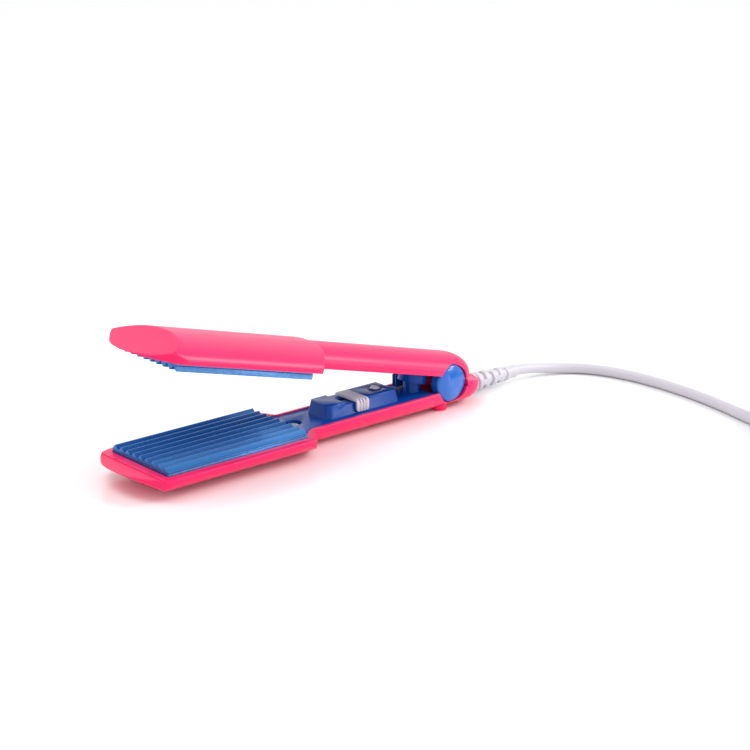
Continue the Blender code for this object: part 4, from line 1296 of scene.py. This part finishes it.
@dataclass
class MainsCord:
    """The mains cord from the strain relief to its plug, with the spare length in a round coil.

    Attributes:
        finish: The cord's and the mouldings' plastic.
        pin_finish: The plug pins' metal.
        sleeve_finish: The plastic of the pins' sleeves.
        radius: The cord's radius.
        exit: Where the cord leaves the casing; not used.
        centre: The coil's centre.
        pitch: The distance between the coil's turns.
        outer: The outer turns' radius.
        route: The points that the cord follows from the relief to the coil, in millimetres.
    """

    finish: Material
    pin_finish: Material
    sleeve_finish: Material
    radius: float = 2.6 * MM
    exit: Triple = (0.107, 0.0, 0.0057)
    centre: tuple[float, float] = (0.205, -0.145)
    pitch: float = 5.25 * MM
    outer: float = 33.7 * MM
    route: list[Point] = field(default_factory=lambda: [
        (107, 0, 5.7), (114, 0, 5.7), (121, 0, 5.7), (128, 0, 5.7), (135.7, 0, 5.7), (142, -0.4, 5.3),
        (150, -1.6, 4.2), (158, -4.2, 3.2), (165, -8.6, 2.8), (171, -15, 2.7), (175.6, -23.5, 2.7),
        (178.8, -33.5, 2.7), (180.8, -45, 2.7), (181.6, -58, 2.7), (181.4, -72, 2.7), (180.2, -86, 2.7),
        (178, -100, 2.7), (175.4, -112, 2.7), (173.4, -122.5, 2.7), (172, -134, 2.7)])

    def coil_point(self, radius: float, degrees: float, z: float) -> Triple:
        """A place on the coil by radius and angle."""
        a = math.radians(degrees)
        return self.centre[0] + radius * math.cos(a), self.centre[1] + radius * math.sin(a), z

    def coil(self) -> list[Point]:
        """The turns, wound inwards, outwards and inwards again in three layers, and the way out over them."""
        columns = [0, 1, 2, 2, 1, 0, 0, 1]
        layers = [0, 0, 0, 1, 1, 1, 2, 2]
        radii = [self.outer - self.pitch * c for c in columns]
        heights = [2.7 * MM + self.pitch * layer for layer in layers]
        points = []
        for k, (radius, z) in enumerate(zip(radii, heights)):
            for degrees in range(0, 360, 15):
                share = max(0.0, (degrees - 290) / 70)
                ease = share * share * (3 - 2 * share)
                angle = 180 + degrees
                if k == len(radii) - 1:
                    if degrees > 315:
                        break
                    points.append(self.coil_point(radius, angle, z))
                elif layers[k] == layers[k + 1]:
                    points.append(self.coil_point(radius + (radii[k + 1] - radius) * ease, angle, z))
                else:
                    under = radii[k - 1] + (radius - radii[k - 1]) * ease
                    side = self.pitch if radius > radii[k - 1] else -self.pitch
                    climb = QUARTER * ease
                    points.append(self.coil_point(under + side * math.cos(climb), angle,
                                                  z + self.pitch * math.sin(climb)))
        top = heights[-1]
        for i in range(1, 8):
            climb = math.pi * i / 7
            points.append(self.coil_point(self.outer - self.pitch * math.cos(climb) * 1.03, 135 + 13.5 * i,
                                          top + self.pitch * 1.03 * math.sin(climb)))
        return points

    def path(self) -> list[Vector]:
        """The whole centreline, from inside the relief to the plug."""
        first = [Vector(p) * MM for p in self.route]
        last = [(213.5, -182.9, 8.0), (221, -181.9, 5.2), (228, -180.9, 3.5), (234, -180.0, 3.3),
                (240, -179.2, 4.8), (245, -178.8, 6.4), (250, -178.7, 6.7)]
        return smooth_path([*first, *self.coil(), *[Vector(p) * MM for p in last]], 2.6 * MM)

    def cord(self, pieces: Sequence[Object]) -> Object:
        """The cord as one curve."""
        path = self.path()
        curve = bpy.data.curves.new("mains_cord", "CURVE")
        curve.dimensions = "3D"
        curve.bevel_depth = self.radius
        curve.bevel_resolution = 4
        curve.use_fill_caps = True
        spline = curve.splines.new("POLY")
        spline.points.add(len(path) - 1)
        for point, place in zip(spline.points, path):
            point.co = (*place, 1.0)
        spline.use_smooth = True
        piece = bpy.data.objects.new("mains_cord", curve)
        bpy.context.scene.collection.objects.link(piece)
        length = sum((b - a).length for a, b in zip(path, path[1:]))
        LOG.info("cord length %.3f m", length)
        settle(piece, self.finish, "lower_arm", ["cord", "cord_coil", "cord_tail"])
        return piece

    def relief(self) -> Object:
        """The strain relief: five tapering rings on a sleeve, bridged in turn across and upright."""
        sleeve = [(0, 13.0), (3.1, 13.0), (3.1, 24.3), (4.5, 24.6), (4.7, 25.0), (4.7, 25.6), (3.4, 26.1)]
        sleeve += [(3.05, 50.0), (3.15, 51.0), (3.15, 53.8), (2.95, 54.5), (0, 54.6)]
        place = Matrix.Translation((0, 0, CORD_Z)) @ Matrix.Rotation(QUARTER, 4, "Y")
        parts = [lathe("ribbed_relief", sleeve, place, 48)]
        pitch = 4.9
        for i in range(5):
            start, big = 26.5 + i * pitch, 4.72 - 0.27 * i
            ring = [(2.4, start), (big - 0.35, start), (big, start + 0.4), (big + 0.02, start + 1.35),
                    (big, start + 2.3), (big - 0.35, start + 2.7), (2.4, start + 2.7)]
            rings = []
            for j in range(48):
                a = 2 * math.pi * j / 48
                wave = 0.32 * math.cos(2 * a + math.pi * (i % 2))
                rings.append([((z + wave) * MM, r * math.cos(a) * MM, r * math.sin(a) * MM + CORD_Z)
                              for r, z in ring])
            parts.append(skin("ring", rings, closed=True))
            if i < 4:
                for side in (-1, 1):
                    low, high = start + 2.2, start + pitch + 0.5
                    r = side * (big - 1.05)
                    y, z, half_y, half_z = (0, r, 1.25, 0.75) if i % 2 else (r, 0, 0.75, 1.25)
                    bridge = block("bridge", (low * MM, (y - half_y) * MM, (z - half_z) * MM + CORD_Z),
                                   (high * MM, (y + half_y) * MM, (z + half_z) * MM + CORD_Z))
                    round_edges(bridge, 0.3 * MM, 2, 40)
                    parts.append(bridge)
        deselect()
        for part in parts:
            part.select_set(True)
        bpy.context.view_layer.objects.active = parts[0]
        bpy.ops.object.join()
        piece = parts[0]
        piece.data.transform(Matrix.Translation(HINGE))
        return settle(piece, self.finish, "lower_arm", ["strain_relief"], crease=38)

    def plug(self) -> Object:
        """The moulded plug: a boot, a waisted grip with ribs and a flared face."""
        start, middle = 246.7, Vector((0, -178.7, 6.7))
        outline = [(0, 3.0, 3.0), (0.4, 3.4, 3.4), (3, 3.6, 3.6), (6, 3.9, 3.9), (8.5, 4.3, 4.3),
                   (10.5, 5.4, 4.9), (12.5, 6.4, 5.6), (15, 6.5, 5.9)]
        for i in range(6):
            x = 16 + i * 2.4
            outline += [(x, 6.5, 5.9), (x + 0.3, 6.1, 5.5), (x + 0.9, 6.1, 5.5), (x + 1.2, 6.6, 6.0)]
        outline += [(31, 6.9, 6.3), (32.6, 7.4, 6.6), (34.4, 7.4, 6.6), (34.9, 7.0, 6.2), (35, 6.6, 5.8)]
        rings = []
        for x, half, height in outline:
            ring = []
            for j in range(56):
                c, s = math.cos(2 * math.pi * j / 56), math.sin(2 * math.pi * j / 56)
                ring.append(((start + x) * MM, (middle.y + math.copysign(abs(c) ** 0.62, c) * half) * MM,
                             (middle.z + math.copysign(abs(s) ** 0.62, s) * height) * MM))
            rings.append(ring)
        piece = skin("moulded_plug", rings)
        return settle(piece, self.finish, "lower_arm", ["plug_body"])

    def pin(self, side: int, label: str) -> list[Object]:
        """One plug pin with its insulating sleeve."""
        place = Matrix.Translation(Vector((282.0, -178.7 + side * 4.4, 6.7)) * MM)
        place = place @ Matrix.Rotation(QUARTER, 4, "Y")
        metal = [(0, 0), (1.85, 0), (1.85, 9.6), (2.0, 9.8), (2.0, 17.0), (1.7, 18.1), (1.1, 18.6), (0, 18.7)]
        pin = lathe(f"round_pin_{label}", metal, place, 40)
        settle(pin, self.pin_finish, "lower_arm", [f"plug_pin_{label}"])
        cover = [(1.87, 0.1), (2.0, 0.1), (2.0, 9.3), (1.87, 9.5)]
        rings = [[(r * math.cos(a) * MM, r * math.sin(a) * MM, z * MM) for r, z in cover]
                 for a in (2 * math.pi * j / 40 for j in range(40))]
        sleeve = skin(f"pin_sleeve_{label}", rings, closed=True)
        sleeve.data.transform(place)
        settle(sleeve, self.sleeve_finish, "lower_arm")
        return [pin, sleeve]

    def build(self) -> None:
        """Makes the cord and every piece on it."""
        pieces = [self.relief(), self.plug(), *self.pin(-1, "left"), *self.pin(1, "right")]
        self.cord(pieces)


# --- surroundings ----------------------------------------------------------------------------------------


class Inner(Enum):
    """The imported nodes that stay, and the finish that each takes."""

    CARRIERS = ("dark", ("lower_plate_carrier", "upper_plate_carrier", "switch_body", "cord_clamp"))
    HEATERS = ("film", ("lower_heater", "upper_heater"))
    CLIPS = ("steel", ("lower_heater_clip", "upper_heater_clip", "hinge_pin"))
    LEADS = ("sleeve", ("lower_heater_lead", "upper_heater_lead", "mains_lead"))
    SCREWS = ("screw", ("cord_clamp_screw_left", "cord_clamp_screw_right"))
    FUSE = ("fuse", ("thermal_fuse",))
    BOARD = ("board", ("control_board",))
    LED = ("led", ("indicator_led",))

    def dress(self, nodes: dict[str, Object], finishes: dict[str, Material]) -> None:
        """Gives these nodes their finish."""
        finish, names = self.value
        for name in names:
            slots = nodes[name].data.materials
            slots.clear()
            slots.append(finishes[finish])
            LOG.info("%s is dressed in %s", name, finish)


@dataclass
class Studio:
    """The pale floor, the soft lights and the camera.

    Attributes:
        eye: Where the camera is.
        aim: The camera's turn, in degrees.
        lens: The camera's focal length, in millimetres.
    """

    eye: Triple = (-0.5998, -0.7452, 0.3412)
    aim: Triple = (72.068, 0.0, -40.786)
    lens: float = 105.6

    def camera(self) -> None:
        """Places the camera and makes it the scene's."""
        data = bpy.data.cameras.new("camera")
        data.lens = self.lens
        data.sensor_width = 36.0
        data.clip_start = 0.01
        data.clip_end = 50.0
        camera = bpy.data.objects.new("camera", data)
        bpy.context.scene.collection.objects.link(camera)
        camera.location = self.eye
        camera.rotation_euler = [math.radians(a) for a in self.aim]
        bpy.context.scene.camera = camera

    def floor(self) -> None:
        """A wide pale floor with a faint satin."""
        deselect()
        bpy.ops.mesh.primitive_plane_add(size=24)
        floor = newest("floor")
        material, graph, shader = bare_material("pale_floor")
        haze = graph.add("TexNoise", Scale=3.0, Detail=2.0)
        colour = graph.blend(haze.outputs["Fac"], (0.9, 0.9, 0.905), (0.93, 0.93, 0.935))
        graph.link(colour, shader.inputs["Base Color"])
        shader.inputs["Roughness"].default_value = 0.24
        shader.inputs["Specular IOR Level"].default_value = 0.5
        floor.data.materials.append(material)

    def light(self, name: str, place: Point, aim: Point, size: float, power: float) -> None:
        """One soft square lamp.

        Args:
            name: The lamp's name.
            place: Where it is.
            aim: The point that it faces.
            size: Its side.
            power: Its power, in watts.
        """
        data = bpy.data.lights.new(name, "AREA")
        data.size = size
        data.energy = power
        lamp = bpy.data.objects.new(name, data)
        bpy.context.scene.collection.objects.link(lamp)
        lamp.location = place
        lamp.rotation_euler = (Vector(aim) - Vector(place)).to_track_quat("-Z", "Y").to_euler()

    def build(self) -> None:
        """Makes the floor, the lamps and the sky."""
        self.floor()
        self.light("key", (-0.35, 0.3, 1.0), (0, 0, 0.03), 0.6, 3.5)
        self.light("panel", (0.75, -0.5, 0.62), (0, 0, 0.02), 0.4, 5.0)
        self.light("card", (0.75, -0.9, 0.26), (0.05, 0, 0.02), 0.3, 1.6)
        world = bpy.data.worlds.new("sky")
        bpy.context.scene.world = world
        world.use_nodes = True
        back = world.node_tree.nodes["Background"]
        back.inputs["Color"].default_value = (1.0, 1.0, 1.0, 1.0)
        back.inputs["Strength"].default_value = 1.0
        bpy.context.scene.view_settings.view_transform = "Standard"


def main() -> None:
    """Builds every sub-assembly in order."""
    logging.basicConfig(level=logging.INFO, format="%(name)s: %(message)s")
    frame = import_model()
    studio = Studio()
    studio.camera()
    finishes = Palette().build()
    MainsCord(finishes["cord"], finishes["pin"], finishes["dark"]).build()
    Casing(Arm.LOWER, finishes["shell"], 10.5 * MM, 12.8 * MM).build()
    Casing(Arm.UPPER, finishes["shell"], 3.5 * MM, 12.5 * MM).build()
    for arm in Arm:
        HeatingPlate(arm, finishes["plate"]).build()
        InnerCover(arm, finishes["cover"], finishes["screw"]).build()
    Switch(finishes["knob"], finishes["lens"], finishes["bezel"]).build()
    Hinge(finishes["cap"], finishes["cover"], finishes["steel"]).build()
    for inner in Inner:
        inner.dress(frame["nodes"], finishes)
    studio.build()


if __name__ == "__main__":
    main()
